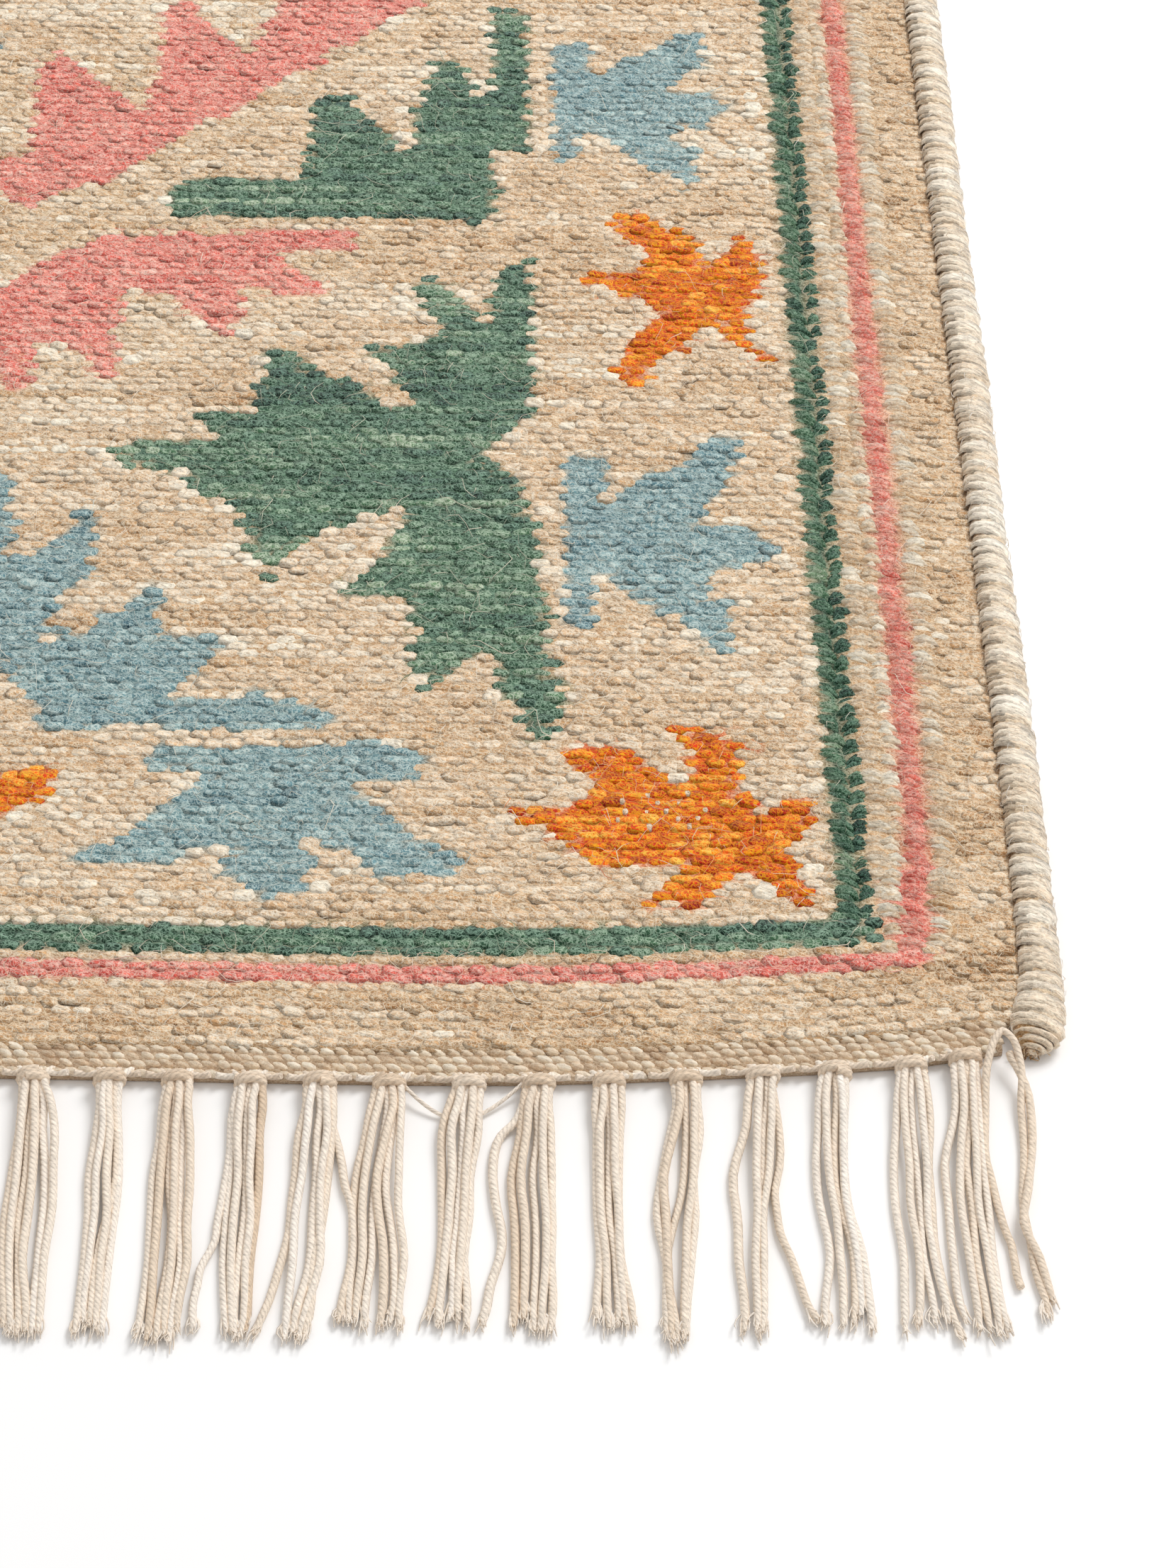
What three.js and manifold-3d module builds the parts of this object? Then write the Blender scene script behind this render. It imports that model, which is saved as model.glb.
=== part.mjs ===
// A small kilim rug lying flat: a wool tapestry panel between two wrapped selvedge rolls,
// a twined cotton heading at each end, and the warp ends knotted into a fringe below it.
// Millimetres, +Z up. The origin is under the middle of the rug, and the front fringe points to -Y.

import * as THREE from "three";
import * as BufferGeometryUtils from "three/addons/utils/BufferGeometryUtils.js";
import Module from "manifold-3d";

const wasm = await Module();
wasm.setup();

// Driving dimensions
const RUG_WIDTH = 600; // over both selvedge rolls
const WOVEN_LENGTH = 842; // over both headings, where the ends reach furthest
const OVERALL_LENGTH = 1000; // over the tips of both fringes
const PANEL_THICKNESS = 4;
const PANEL_ROUNDING = 0.9; // soft arris of the cloth
const PIECE_GAP = 0.3; // between neighbouring pieces
const HEADING_WIDTH = 9.6;
const HEADING_SIDE = 282.4; // where the heading stops short of the selvedge's rounded end
const SPINE_WIDTH = 2;
const SPINE_HEIGHT = 2.4;
const KNOT_WIDTH = 8.4;
const KNOT_HEIGHT = 6.2;
const KNOT_LENGTH = 6.4;
const BUNCH_HEIGHT = 3.6; // strands lying two deep below a knot
const TIP_HEIGHT = 2.2; // strands spread on the floor
const LONE_STRAND_WIDTH = 2.2;

const HALF_WOVEN = WOVEN_LENGTH / 2;
const HALF_OVERALL = OVERALL_LENGTH / 2;
const END_STEPS = 24; // straight lengths along each end of the weave

// The end of the weave draws back towards each corner. Rows run from the middle of the rug out.
const END_DRAW = [
  { side: 0, draw: 2.4 },
  { side: 60, draw: 1.4 },
  { side: 120, draw: 0.2 },
  { side: 165, draw: 0 },
  { side: 200, draw: 1.6 },
  { side: 250, draw: 5.2 },
  { side: 272, draw: 8 },
  { side: 290, draw: 13 },
];

// The selvedge roll, from its rounded end to the middle of the rug: distance from that end,
// how far the roll's outer side lies inside the rug's width, and the roll's width and height.
const SELVEDGE_END = 411;
const SELVEDGE_ROWS = [
  { along: 0, inset: 8.6, width: 5, height: 3.6 },
  { along: 1.6, inset: 5.4, width: 9.6, height: 5.8 },
  { along: 5, inset: 2.8, width: 12.8, height: 7.2 },
  { along: 10, inset: 1.5, width: 13.4, height: 7.5 },
  { along: 16, inset: 1, width: 12.2, height: 7.5 },
  { along: 25, inset: 0.9, width: 10.9, height: 7.4 },
  { along: 42, inset: 1, width: 10, height: 7.2 },
  { along: 75, inset: 0.5, width: 10.2, height: 7.3 },
  { along: 130, inset: 0.2, width: 10.4, height: 7.4 },
  { along: 190, inset: 0.6, width: 9.8, height: 7.2 },
  { along: 260, inset: 0, width: 10.4, height: 7.4 },
  { along: 330, inset: 0.4, width: 10.1, height: 7.3 },
  { along: 411, inset: 0.1, width: 10.3, height: 7.4 },
];

// The bunches of the front fringe: where the knot sits, how far the bunch has drifted sideways
// half way down and at its tip, its width there, and how far the tip stops short of the longest.
const BUNCHES = [
  { side: 15.8, midDrift: -0.6, tipDrift: 1.2, midWidth: 9, tipWidth: 10, short: 2 },
  { side: 31.6, midDrift: 1, tipDrift: -1.6, midWidth: 10, tipWidth: 9, short: 1 },
  { side: 47.4, midDrift: 1.6, tipDrift: 2.4, midWidth: 12, tipWidth: 9.4, short: 1 },
  { side: 65.2, midDrift: 0.4, tipDrift: -0.4, midWidth: 8, tipWidth: 6.8, short: 1 },
  { side: 82, midDrift: 0.6, tipDrift: -2, midWidth: 10, tipWidth: 11.6, short: 0 },
  { side: 99.4, midDrift: -0.4, tipDrift: -2, midWidth: 8.4, tipWidth: 7.2, short: 0 },
  { side: 116, midDrift: -1.6, tipDrift: -5, midWidth: 9.4, tipWidth: 5.6, short: 0 },
  { side: 132.8, midDrift: -2.2, tipDrift: -4.4, midWidth: 12.6, tipWidth: 15.6, short: 3 },
  { side: 151.6, midDrift: -3.2, tipDrift: -5.6, midWidth: 7.2, tipWidth: 9.4, short: 4 },
  { side: 168.8, midDrift: -2.4, tipDrift: -1.8, midWidth: 9, tipWidth: 8.2, short: 3 },
  { side: 186, midDrift: -0.8, tipDrift: -0.4, midWidth: 7, tipWidth: 10.8, short: 3 },
  { side: 204.4, midDrift: -3.6, tipDrift: -5, midWidth: 9.6, tipWidth: 8.4, short: 0 },
  { side: 223.2, midDrift: -4.8, tipDrift: -6.6, midWidth: 8.6, tipWidth: 5.8, short: 2 },
  { side: 240.6, midDrift: -3, tipDrift: -0.6, midWidth: 8.4, tipWidth: 11.6, short: 4 },
  { side: 259.4, midDrift: -1.4, tipDrift: -1, midWidth: 9.4, tipWidth: 13.6, short: 2 },
  { side: 273, midDrift: -3.4, tipDrift: -2.6, midWidth: 9, tipWidth: 12.4, short: 2 },
];

// Strands that part from their bunch and lie apart, in the same terms.
const LONE_STRANDS = [
  { side: 99.4, midDrift: -5.4, tipDrift: -10.4, short: 2 },
  { side: 116, midDrift: -5.4, tipDrift: -13.6, short: 3 },
  { side: 168.8, midDrift: -10.4, tipDrift: -13.6, short: 3 },
  { side: 223.2, midDrift: 1.4, tipDrift: 8.4, short: 4 },
  { side: 279.6, midDrift: -2, tipDrift: 0.4, short: 17 },
  { side: 281.6, midDrift: 2.4, tipDrift: 4.6, short: 6 },
];

const MIDDLE_BUNCH = { side: 0, midDrift: 0.8, tipDrift: -1, midWidth: 9, tipWidth: 9.6, short: 3 };

const drawCurve = new THREE.CubicInterpolant(
  END_DRAW.map((row) => row.side),
  END_DRAW.map((row) => row.draw),
  1,
);

/** Y of the outer side of the front heading at a place across the rug. */
function frontEnd(x) {
  return drawCurve.evaluate(Math.abs(x))[0] - HALF_WOVEN;
}

/** Even steps from one value to another, both included. */
function steps(from, to, count) {
  return Array.from({ length: count + 1 }, (_, i) => THREE.MathUtils.lerp(from, to, i / count));
}

const endStations = steps(-HEADING_SIDE, HEADING_SIDE, END_STEPS);

/** A closed solid through sections with equal point counts, its two ends capped flat. */
function loft(sections) {
  const size = sections[0].length;
  const index = [];
  for (let s = 0; s + 1 < sections.length; s += 1) {
    for (let i = 0; i < size; i += 1) {
      const next = (i + 1) % size;
      const low = s * size;
      const high = low + size;
      index.push(low + i, low + next, high + next, low + i, high + next, high + i);
    }
  }
  const last = (sections.length - 1) * size;
  for (let i = 1; i + 1 < size; i += 1) {
    index.push(0, i + 1, i, last, last + i, last + i + 1);
  }
  const geometry = new THREE.BufferGeometry().setFromPoints(sections.flat());
  geometry.setIndex(index);
  return geometry;
}

/** A closed geometry as a manifold-3d solid. */
function toSolid(geometry) {
  const bare = BufferGeometryUtils.mergeVertices(geometry);
  const vertProperties = new Float32Array(bare.attributes.position.array);
  const triVerts = new Uint32Array(bare.index.array);
  return new wasm.Manifold(new wasm.Mesh({ numProp: 3, vertProperties, triVerts }));
}

/** A manifold-3d solid as a geometry. */
function toGeometry(solid) {
  const mesh = solid.getMesh();
  const geometry = new THREE.BufferGeometry();
  geometry.setAttribute("position", new THREE.BufferAttribute(mesh.vertProperties, 3));
  geometry.setIndex(new THREE.BufferAttribute(mesh.triVerts, 1));
  geometry.computeVertexNormals();
  return geometry;
}

/** Rows of the right selvedge from its front end to its back end, which are alike. */
function selvedgeStations() {
  const front = SELVEDGE_ROWS.map((row) => ({ ...row, y: row.along - SELVEDGE_END }));
  const back = front.slice(0, -1).map((row) => ({ ...row, y: -row.y }));
  return [...front, ...back.reverse()];
}

/** The wrapped roll: ten-sided sections with a flat underside, drawn in at both ends. */
function selvedgeGeometry() {
  const sides = 10;
  const flatten = 1 / Math.cos(Math.PI / sides);
  const sections = selvedgeStations().map((row) => {
    const centre = RUG_WIDTH / 2 - row.inset - row.width / 2;
    return Array.from({ length: sides }, (_, i) => {
      const turn = (i / sides) * 2 * Math.PI;
      const x = centre - Math.cos(turn) * (row.width / 2);
      const z = (row.height / 2) * (1 + Math.sin(turn) * flatten);
      return new THREE.Vector3(x, row.y, z);
    });
  });
  return loft(sections);
}

/** The panel: its sides follow the selvedges and its ends follow the headings. */
function panelGeometry() {
  const frontEdge = endStations.map(
    (x) => new THREE.Vector2(x, frontEnd(x) + HEADING_WIDTH + PIECE_GAP),
  );
  const cornerY = frontEdge[0].y;
  const rightEdge = selvedgeStations()
    .filter((row) => Math.abs(row.y) < Math.abs(cornerY) - 1)
    .map((row) => new THREE.Vector2(RUG_WIDTH / 2 - row.inset - row.width - PIECE_GAP, row.y));
  const half = [...frontEdge, ...rightEdge];
  const otherHalf = half.map((point) => point.clone().negate());
  const geometry = new THREE.ExtrudeGeometry(new THREE.Shape([...half, ...otherHalf]), {
    depth: PANEL_THICKNESS - 2 * PANEL_ROUNDING,
    bevelThickness: PANEL_ROUNDING,
    bevelSize: PANEL_ROUNDING,
    bevelOffset: -PANEL_ROUNDING,
    bevelSegments: 2,
  });
  return geometry.translate(0, 0, PANEL_ROUNDING);
}

/** The twined heading: three rounded cord rows side by side, following the end of the weave. */
function headingGeometry() {
  const profile = [
    { across: 0, z: 0 },
    { across: 1, z: 0 },
    { across: 1, z: 2.8 },
    { across: 0.83, z: 4.2 },
    { across: 0.66, z: 3.2 },
    { across: 0.5, z: 4.4 },
    { across: 0.34, z: 3.2 },
    { across: 0.17, z: 3.9 },
    { across: 0, z: 2.4 },
  ];
  const sections = endStations.map((x) =>
    profile.map((point) => new THREE.Vector3(x, frontEnd(x) + point.across * HEADING_WIDTH, point.z)),
  );
  return loft(sections);
}

/** A six-sided section of a bunch of strands, standing across the fringe on a flat underside. */
function strandSection(x, y, width, height) {
  const corners = [
    [-0.3, 0],
    [0.3, 0],
    [0.5, 0.45],
    [0.3, 1],
    [-0.3, 1],
    [-0.5, 0.45],
  ];
  return corners.map(([across, up]) => new THREE.Vector3(x + across * width, y, up * height));
}

/** A bunch of warp ends: its knot close below the heading, then the strands down to the tip. */
function bunchGeometry({ side, midDrift, tipDrift, midWidth, tipWidth, short }) {
  const top = frontEnd(side) - PIECE_GAP - SPINE_WIDTH / 2;
  const knotEnd = top - KNOT_LENGTH;
  const tip = short - HALF_OVERALL;
  return loft([
    strandSection(side, top, KNOT_WIDTH * 0.8, KNOT_HEIGHT * 0.8),
    strandSection(side, top - KNOT_LENGTH / 2, KNOT_WIDTH, KNOT_HEIGHT),
    strandSection(side, knotEnd, KNOT_WIDTH * 0.8, BUNCH_HEIGHT),
    strandSection(side + midDrift, (knotEnd + tip) / 2, midWidth, BUNCH_HEIGHT),
    strandSection(side + tipDrift, tip, tipWidth, TIP_HEIGHT),
  ]);
}

/** One strand lying apart from its bunch. */
function loneStrandGeometry({ side, midDrift, tipDrift, short }) {
  const top = frontEnd(side) - PIECE_GAP - SPINE_WIDTH / 2;
  const tip = short - HALF_OVERALL;
  return loft([
    strandSection(side + midDrift * 0.2, top, LONE_STRAND_WIDTH, TIP_HEIGHT),
    strandSection(side + midDrift, (top + tip) / 2, LONE_STRAND_WIDTH, TIP_HEIGHT),
    strandSection(side + tipDrift, tip, LONE_STRAND_WIDTH, TIP_HEIGHT),
  ]);
}

/** The strip of crossing warps along the heading, which carries every bunch of the fringe. */
function spineGeometry() {
  const sections = endStations.map((x) => {
    const outer = frontEnd(x) - PIECE_GAP - SPINE_WIDTH;
    const inner = frontEnd(x) - PIECE_GAP;
    return [
      new THREE.Vector3(x, outer, 0),
      new THREE.Vector3(x, inner, 0),
      new THREE.Vector3(x, inner, SPINE_HEIGHT),
      new THREE.Vector3(x, outer, SPINE_HEIGHT),
    ];
  });
  return loft(sections);
}

/** The front fringe, one comb. Its left bunches take their drift from other rows than the right. */
function fringeGeometry() {
  const left = BUNCHES.map((row, i) => ({ ...BUNCHES[(i * 5 + 3) % BUNCHES.length], side: -row.side }));
  const loneLeft = LONE_STRANDS.map((row) => ({
    ...row,
    side: -row.side,
    midDrift: -row.midDrift,
    tipDrift: -row.tipDrift,
  }));
  const solids = [
    spineGeometry(),
    ...[MIDDLE_BUNCH, ...BUNCHES, ...left].map(bunchGeometry),
    ...[...LONE_STRANDS, ...loneLeft].map(loneStrandGeometry),
  ].map(toSolid);
  return toGeometry(wasm.Manifold.union(solids));
}

const wool = new THREE.MeshStandardMaterial({ color: 0xcfb08c, roughness: 0.95, metalness: 0 });
const paleWool = new THREE.MeshStandardMaterial({ color: 0xdcd0bf, roughness: 0.92, metalness: 0 });
const cotton = new THREE.MeshStandardMaterial({ color: 0xe9dfce, roughness: 0.9, metalness: 0 });

const rug = new THREE.Group();

/** Adds a named piece to the rug, turned about the upright axis through the rug's middle. */
function addPiece(name, geometry, material, turn = 0) {
  const piece = new THREE.Mesh(geometry, material);
  piece.name = name;
  piece.rotation.z = turn;
  rug.add(piece);
}

addPiece("kilim_panel", panelGeometry(), wool);
addPiece("selvedge_right", selvedgeGeometry(), paleWool);
addPiece("selvedge_left", selvedgeGeometry(), paleWool, Math.PI);
addPiece("heading_front", headingGeometry(), cotton);
addPiece("heading_back", headingGeometry(), cotton, Math.PI);
addPiece("fringe_front", fringeGeometry(), cotton);
addPiece("fringe_back", fringeGeometry(), cotton, Math.PI);

export default rug;
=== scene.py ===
"""A kilim rug lying flat: tapestry-woven wool, wrapped selvedges, twined headings, knotted fringe.

Metres throughout, unless a name ends in _MM. +Y runs along the warps, +Z is up, and the origin is
under the middle of the rug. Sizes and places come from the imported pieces.
"""

from __future__ import annotations

import logging
import math
from dataclasses import dataclass, field, replace
from enum import Enum

import bmesh
import bpy
import numpy as np
from bpy.types import Material, Mesh, Modifier, NodeSocket, NodeTree, Object
from mathutils import Matrix, Vector
from numpy import ndarray

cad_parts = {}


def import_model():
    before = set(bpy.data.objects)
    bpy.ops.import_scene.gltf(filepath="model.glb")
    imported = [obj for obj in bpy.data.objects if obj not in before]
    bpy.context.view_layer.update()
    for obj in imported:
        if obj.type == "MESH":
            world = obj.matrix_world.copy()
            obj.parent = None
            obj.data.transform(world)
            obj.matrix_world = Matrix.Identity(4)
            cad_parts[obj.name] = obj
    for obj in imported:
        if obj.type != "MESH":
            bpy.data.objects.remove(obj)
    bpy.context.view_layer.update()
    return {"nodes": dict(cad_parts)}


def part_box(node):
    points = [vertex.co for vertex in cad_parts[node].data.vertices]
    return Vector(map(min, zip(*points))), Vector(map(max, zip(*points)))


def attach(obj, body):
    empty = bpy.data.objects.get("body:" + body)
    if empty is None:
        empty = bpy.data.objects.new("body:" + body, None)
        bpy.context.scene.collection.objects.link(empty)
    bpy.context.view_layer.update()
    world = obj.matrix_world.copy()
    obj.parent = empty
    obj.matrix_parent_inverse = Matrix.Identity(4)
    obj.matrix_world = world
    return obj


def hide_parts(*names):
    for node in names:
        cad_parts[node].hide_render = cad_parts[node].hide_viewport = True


LOG = logging.getLogger("kilim")
MM = 0.001
BODY = "root"


class Wool(Enum):
    """The dyed and undyed wools of the weave."""

    GROUND = "ground"
    GREEN = "green"
    PINK = "pink"
    BLUE = "blue"
    ORANGE = "orange"


# ------------ colours and small arithmetic


def linear(red: float, green: float, blue: float) -> ndarray:
    """A display colour, each part 0 to 255, as linear light.

    Args:
        red: the red part.
        green: the green part.
        blue: the blue part.

    Returns:
        Three linear values.
    """
    parts = np.array([red, green, blue], float) / 255
    return np.where(parts <= 0.04045, parts / 12.92, ((parts + 0.055) / 1.055) ** 2.4)


def smoothstep(low: float, high: float, value: ndarray) -> ndarray:
    """A soft step from 0 at low to 1 at high.

    Args:
        low: where the step starts.
        high: where it ends.
        value: the places asked about.

    Returns:
        The step's height at each place.
    """
    share = np.clip((value - low) / (high - low), 0, 1)
    return share * share * (3 - 2 * share)


class Drift:
    """Smooth random values over a plane, from -1 to 1, the same on every run."""

    GRID = 128

    def __init__(self, seed: int) -> None:
        """Draws the table of corner values.

        Args:
            seed: the number that fixes the draw.
        """
        self.table = np.random.default_rng(seed).uniform(-1, 1, (self.GRID, self.GRID))

    def at(self, x: ndarray, y: ndarray, size_x: float, size_y: float) -> ndarray:
        """Values at places.

        Args:
            x: places across.
            y: places along.
            size_x: width of one hump.
            size_y: length of one hump.

        Returns:
            One value for each place.
        """
        across, along = np.asarray(x) / size_x, np.asarray(y) / size_y
        col, row = np.floor(across).astype(int), np.floor(along).astype(int)
        fx, fy = smoothstep(0, 1, across - col), smoothstep(0, 1, along - row)
        c0, c1 = col % self.GRID, (col + 1) % self.GRID
        r0, r1 = row % self.GRID, (row + 1) % self.GRID
        low = self.table[r0, c0] * (1 - fx) + self.table[r0, c1] * fx
        high = self.table[r1, c0] * (1 - fx) + self.table[r1, c1] * fx
        return low * (1 - fy) + high * fy


@dataclass(frozen=True)
class Palette:
    """The tones of one yarn, from its darkest to its lightest, as display colours."""

    tones: tuple[tuple[int, int, int], ...]

    def pick(self, tone: ndarray) -> ndarray:
        """Linear colours with alpha for tones from 0, dark, to 1, light.

        Args:
            tone: one value for each colour wanted.

        Returns:
            An array of four values for each.
        """
        stops = np.array([linear(*entry) for entry in self.tones])
        places = np.linspace(0, 1, len(stops))
        parts = [np.interp(tone, places, stops[:, i]) for i in range(3)]
        return np.stack([*parts, np.ones_like(parts[0])], -1)


PALETTES = {
    Wool.GROUND: Palette(
        ((160, 124, 84), (201, 164, 124), (217, 187, 152), (227, 202, 174), (237, 219, 197), (246, 238, 224))
    ),
    Wool.GREEN: Palette(((30, 64, 52), (48, 88, 71), (70, 111, 87), (101, 138, 110), (146, 172, 144))),
    Wool.PINK: Palette(((203, 92, 84), (221, 121, 110), (232, 142, 130), (240, 164, 150), (245, 189, 176))),
    Wool.BLUE: Palette(((84, 122, 137), (113, 149, 160), (137, 169, 177), (160, 188, 193), (188, 208, 208))),
    Wool.ORANGE: Palette(((180, 48, 0), (210, 77, 0), (230, 103, 0), (244, 133, 2), (252, 170, 24))),
}
SELVEDGE_WOOL = Palette(((188, 158, 124), (212, 189, 160), (226, 208, 187), (236, 224, 209), (244, 237, 227)))
TIP_WOOL = Palette(((112, 84, 58), (150, 116, 80), (186, 150, 108), (212, 184, 146)))
HEADING_COTTON = Palette(((204, 178, 152), (224, 203, 180), (239, 223, 204), (249, 239, 225)))
FRINGE_COTTON = Palette(((206, 178, 148), (230, 209, 185), (242, 227, 209), (249, 239, 227)))
PALE_FIBRE = (0.9, 0.8, 0.64, 1)


# ------------ the rug's pattern


@dataclass(frozen=True)
class Leaf:
    """A leaf of the pattern, its outline in millimetres from its own start or the rug's middle."""

    wool: Wool
    outline: tuple[tuple[float, float], ...]


@dataclass(frozen=True)
class Placed:
    """A leaf's place on the right half of the rug: the left half mirrors it."""

    leaf: Leaf
    x_mm: float = 0.0
    y_mm: float = 0.0
    quarter_turns: int = 0
    grow_x: float = 1.0
    grow_y: float = 1.0
    both_ends: bool = True

    def outline(self) -> ndarray:
        """The outline in place, in metres."""
        points = np.array(self.leaf.outline, float)
        for _ in range(self.quarter_turns % 4):
            points = np.stack([-points[:, 1], points[:, 0]], -1)
        points = points * (self.grow_x, self.grow_y) + (self.x_mm, self.y_mm)
        return points * MM


# A border leaf: a bar over a three-pointed body.
TREE_LEAF = Leaf(
    Wool.BLUE,
    (
        (-34.5, 0), (35.5, 0), (35.5, -13), (18, -12.5), (21, -19), (28, -26), (33, -34),
        (41, -37), (47, -44), (47, -49), (23, -49), (20, -42), (8, -36), (7.5, -53),
        (1, -55), (-2, -61), (-7, -55), (-13, -48), (-11, -41), (-16, -38), (-23, -40),
        (-25, -47), (-43, -46), (-51, -44), (-42, -37), (-36, -31), (-28, -23), (-20, -15),
        (-15, -9), (-31, -9), (-34.5, -5),
    ),
)
# A border leaf with five points round its middle.
STAR_LEAF = Leaf(
    Wool.ORANGE,
    (
        (-28, 3), (-19, 8), (-9, 9), (-6, 13), (-11, 19), (-16, 26), (-18, 36), (-8, 37),
        (-2, 31), (4, 27), (7, 21), (12, 13), (17, 18), (18, 25), (24, 26), (25, 15),
        (27, 5), (24, -6), (20, -16), (23, -25), (27, -35), (22, -34), (17, -23), (12, -16),
        (7, -22), (1, -30), (-6, -37), (-11, -47), (-16, -43), (-16, -33), (-10, -18),
        (-5, -10), (-9, -6), (-17, -7), (-20, 0),
    ),
)
# The leaf that turns the border's corner.
CORNER_LEAF = Leaf(
    Wool.ORANGE,
    (
        (176, -302), (196, -304), (203, -316), (208, -318), (211, -312), (210, -303),
        (205, -295), (212, -296), (218, -299), (224, -304), (222, -313), (226, -327),
        (229, -329), (232, -324), (242, -322), (240, -332), (232, -342), (237, -353),
        (240, -364), (233, -363), (225, -351), (219, -351), (211, -368), (203, -359),
        (198, -365), (197, -361), (207, -351), (206, -347), (187, -349), (172, -335),
        (160, -326), (178, -325), (187, -320), (182, -314), (177, -311),
    ),
)
# The large leaf of the field, lying along the border.
FIELD_LEAF = Leaf(
    Wool.GREEN,
    (
        (171, -92), (165, -95), (159, -104), (157, -124), (148, -110), (142, -104),
        (138, -106), (139, -120), (147, -130), (138, -134), (121, -135), (128, -143),
        (138, -162), (132, -163), (122, -154), (108, -146), (99, -137), (94, -139),
        (95, -150), (90, -154), (94, -164), (74, -166), (85, -177), (68, -177),
        (53, -181), (60, -190), (74, -192), (75, -201), (89, -206), (91, -220),
        (99, -236), (102, -226), (114, -216), (127, -208), (138, -207), (129, -219),
        (127, -228), (116, -245), (134, -246), (139, -256), (136, -274), (141, -281),
        (150, -272), (155, -262), (160, -270), (162, -284), (170, -301), (175, -298),
        (177, -280), (173, -245), (171, -215), (168, -198), (157, -185), (162, -174),
        (171, -167), (172, -140),
    ),
)
# The green leaf beside the middle: a bar and a stepped crown.
CROWN_LEAF = Leaf(
    Wool.GREEN,
    (
        (65, -73), (63, -65), (68, -55), (104, -54), (103, -44), (105, -30), (107, -12),
        (117, -12), (121, -23), (128, -30), (135, -41), (138, -34), (138, -19), (143, 7),
        (150, 8), (153, 0), (157, -10), (160, -8), (160, 20), (162, 36), (172, 36),
        (170, -9), (172, -38), (161, -40), (160, -52), (162, -58), (158, -79), (150, -74),
    ),
)
# The pink leaf next to the crown, its points hanging down.
HANGING_LEAF = Leaf(
    Wool.PINK,
    (
        (47, -82), (121, -81), (117, -91), (97, -92), (104, -100), (112, -110), (106, -112),
        (92, -107), (86, -108), (87, -120), (84, -131), (76, -123), (66, -113), (57, -109),
        (53, -114), (52, -130), (54, -145), (52, -154), (46, -148), (41, -137), (33, -133),
        (30, -138), (30, -150), (25, -159), (21, -150), (14, -138), (6, -140), (-2, -152),
        (-2, -100), (8, -104), (18, -107), (28, -101), (36, -92), (42, -86),
    ),
)
# The toothed pink band that rises from the middle.
RISING_BAND = Leaf(
    Wool.PINK,
    (
        (-2, -45), (20, -45), (22, -20), (24, 8), (28, 9), (34, 2), (40, -6), (45, -13),
        (53, -20), (56, -22), (57, -10), (60, 36), (66, 42), (70, 34), (76, 22), (84, 10),
        (87, 11), (90, 24), (95, 44), (108, 56), (148, 54), (140, 38), (130, 30), (118, 18),
        (106, 5), (93, -8), (78, -22), (66, -34), (57, -44), (50, -52), (46, -59),
        (34, -60), (28, -68), (22, -71), (12, -62), (-2, -68),
    ),
)
# The blue leaf inside the end borders.
INNER_LEAF = Leaf(
    Wool.BLUE,
    (
        (-2, -200), (22, -194), (28, -197), (29, -208), (31, -220), (25, -226), (30, -231),
        (38, -224), (44, -217), (46, -208), (51, -208), (51, -229), (49, -240), (43, -248),
        (40, -256), (41, -264), (44, -258), (52, -259), (54, -251), (60, -249), (66, -241),
        (73, -243), (69, -254), (74, -261), (92, -262), (84, -269), (81, -277), (75, -284),
        (100, -284), (113, -288), (117, -293), (116, -299), (98, -297), (42, -296),
        (40, -288), (34, -282), (30, -272), (20, -268), (8, -274), (-2, -262),
    ),
)
# A small lozenge on the rug's middle line.
LOZENGE = Leaf(Wool.BLUE, ((-2, 22), (5, 19), (11, 13), (5, 8), (-2, 5)))

PATTERN = (
    Placed(TREE_LEAF, 103.5, -303),
    Placed(TREE_LEAF, 178, -220, quarter_turns=1),
    Placed(TREE_LEAF, 178, -15, quarter_turns=1, grow_x=0.93, grow_y=0.86, both_ends=False),
    Placed(STAR_LEAF, 212, -107),
    Placed(STAR_LEAF, 0, -329, quarter_turns=3, grow_x=1.22),
    Placed(CORNER_LEAF),
    Placed(FIELD_LEAF),
    Placed(CROWN_LEAF, both_ends=False),
    Placed(HANGING_LEAF),
    Placed(RISING_BAND, both_ends=False),
    Placed(INNER_LEAF),
    Placed(LOZENGE, both_ends=False),
)


@dataclass(frozen=True)
class Stripe:
    """One of the two narrow frames woven round the field, in millimetres from the middle lines."""

    wool: Wool
    side_mm: float
    side_half_mm: float
    end_mm: float
    end_half_mm: float
    corner_lean_mm: float

    def holds(self, x: ndarray, y: ndarray) -> ndarray:
        """Which places lie on the stripe.

        Args:
            x: distances from the long middle line, in metres, never negative.
            y: distances from the cross middle line, in metres, never negative.

        Returns:
            True for each place on it.
        """
        side = self.side_mm * MM - self.corner_lean_mm * MM * smoothstep(0.33, 0.39, y)
        end = self.end_mm * MM
        reach = end + self.end_half_mm * MM
        on_side = (np.abs(x - side) < self.side_half_mm * MM) & (y < reach)
        on_end = (np.abs(y - end) < self.end_half_mm * MM) & (x < side + self.side_half_mm * MM)
        return on_side | on_end


STRIPES = (
    Stripe(Wool.GREEN, 249, 4.6, 374.6, 4.4, -0.6),
    Stripe(Wool.PINK, 267, 4.7, 387.2, 2.9, 3.6),
)


def inside(outline: ndarray, x: ndarray, y: ndarray) -> ndarray:
    """Which places lie inside a closed outline.

    Args:
        outline: its corners in order.
        x: places across.
        y: places along.

    Returns:
        True for each place inside.
    """
    found = np.zeros(np.shape(x), bool)
    ends = np.roll(outline, -1, 0)
    for (x0, y0), (x1, y1) in zip(outline, ends):
        if y0 == y1:
            continue
        crosses = (y0 > y) != (y1 > y)
        found ^= crosses & (x < x0 + (y - y0) * (x1 - x0) / (y1 - y0))
    return found


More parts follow.
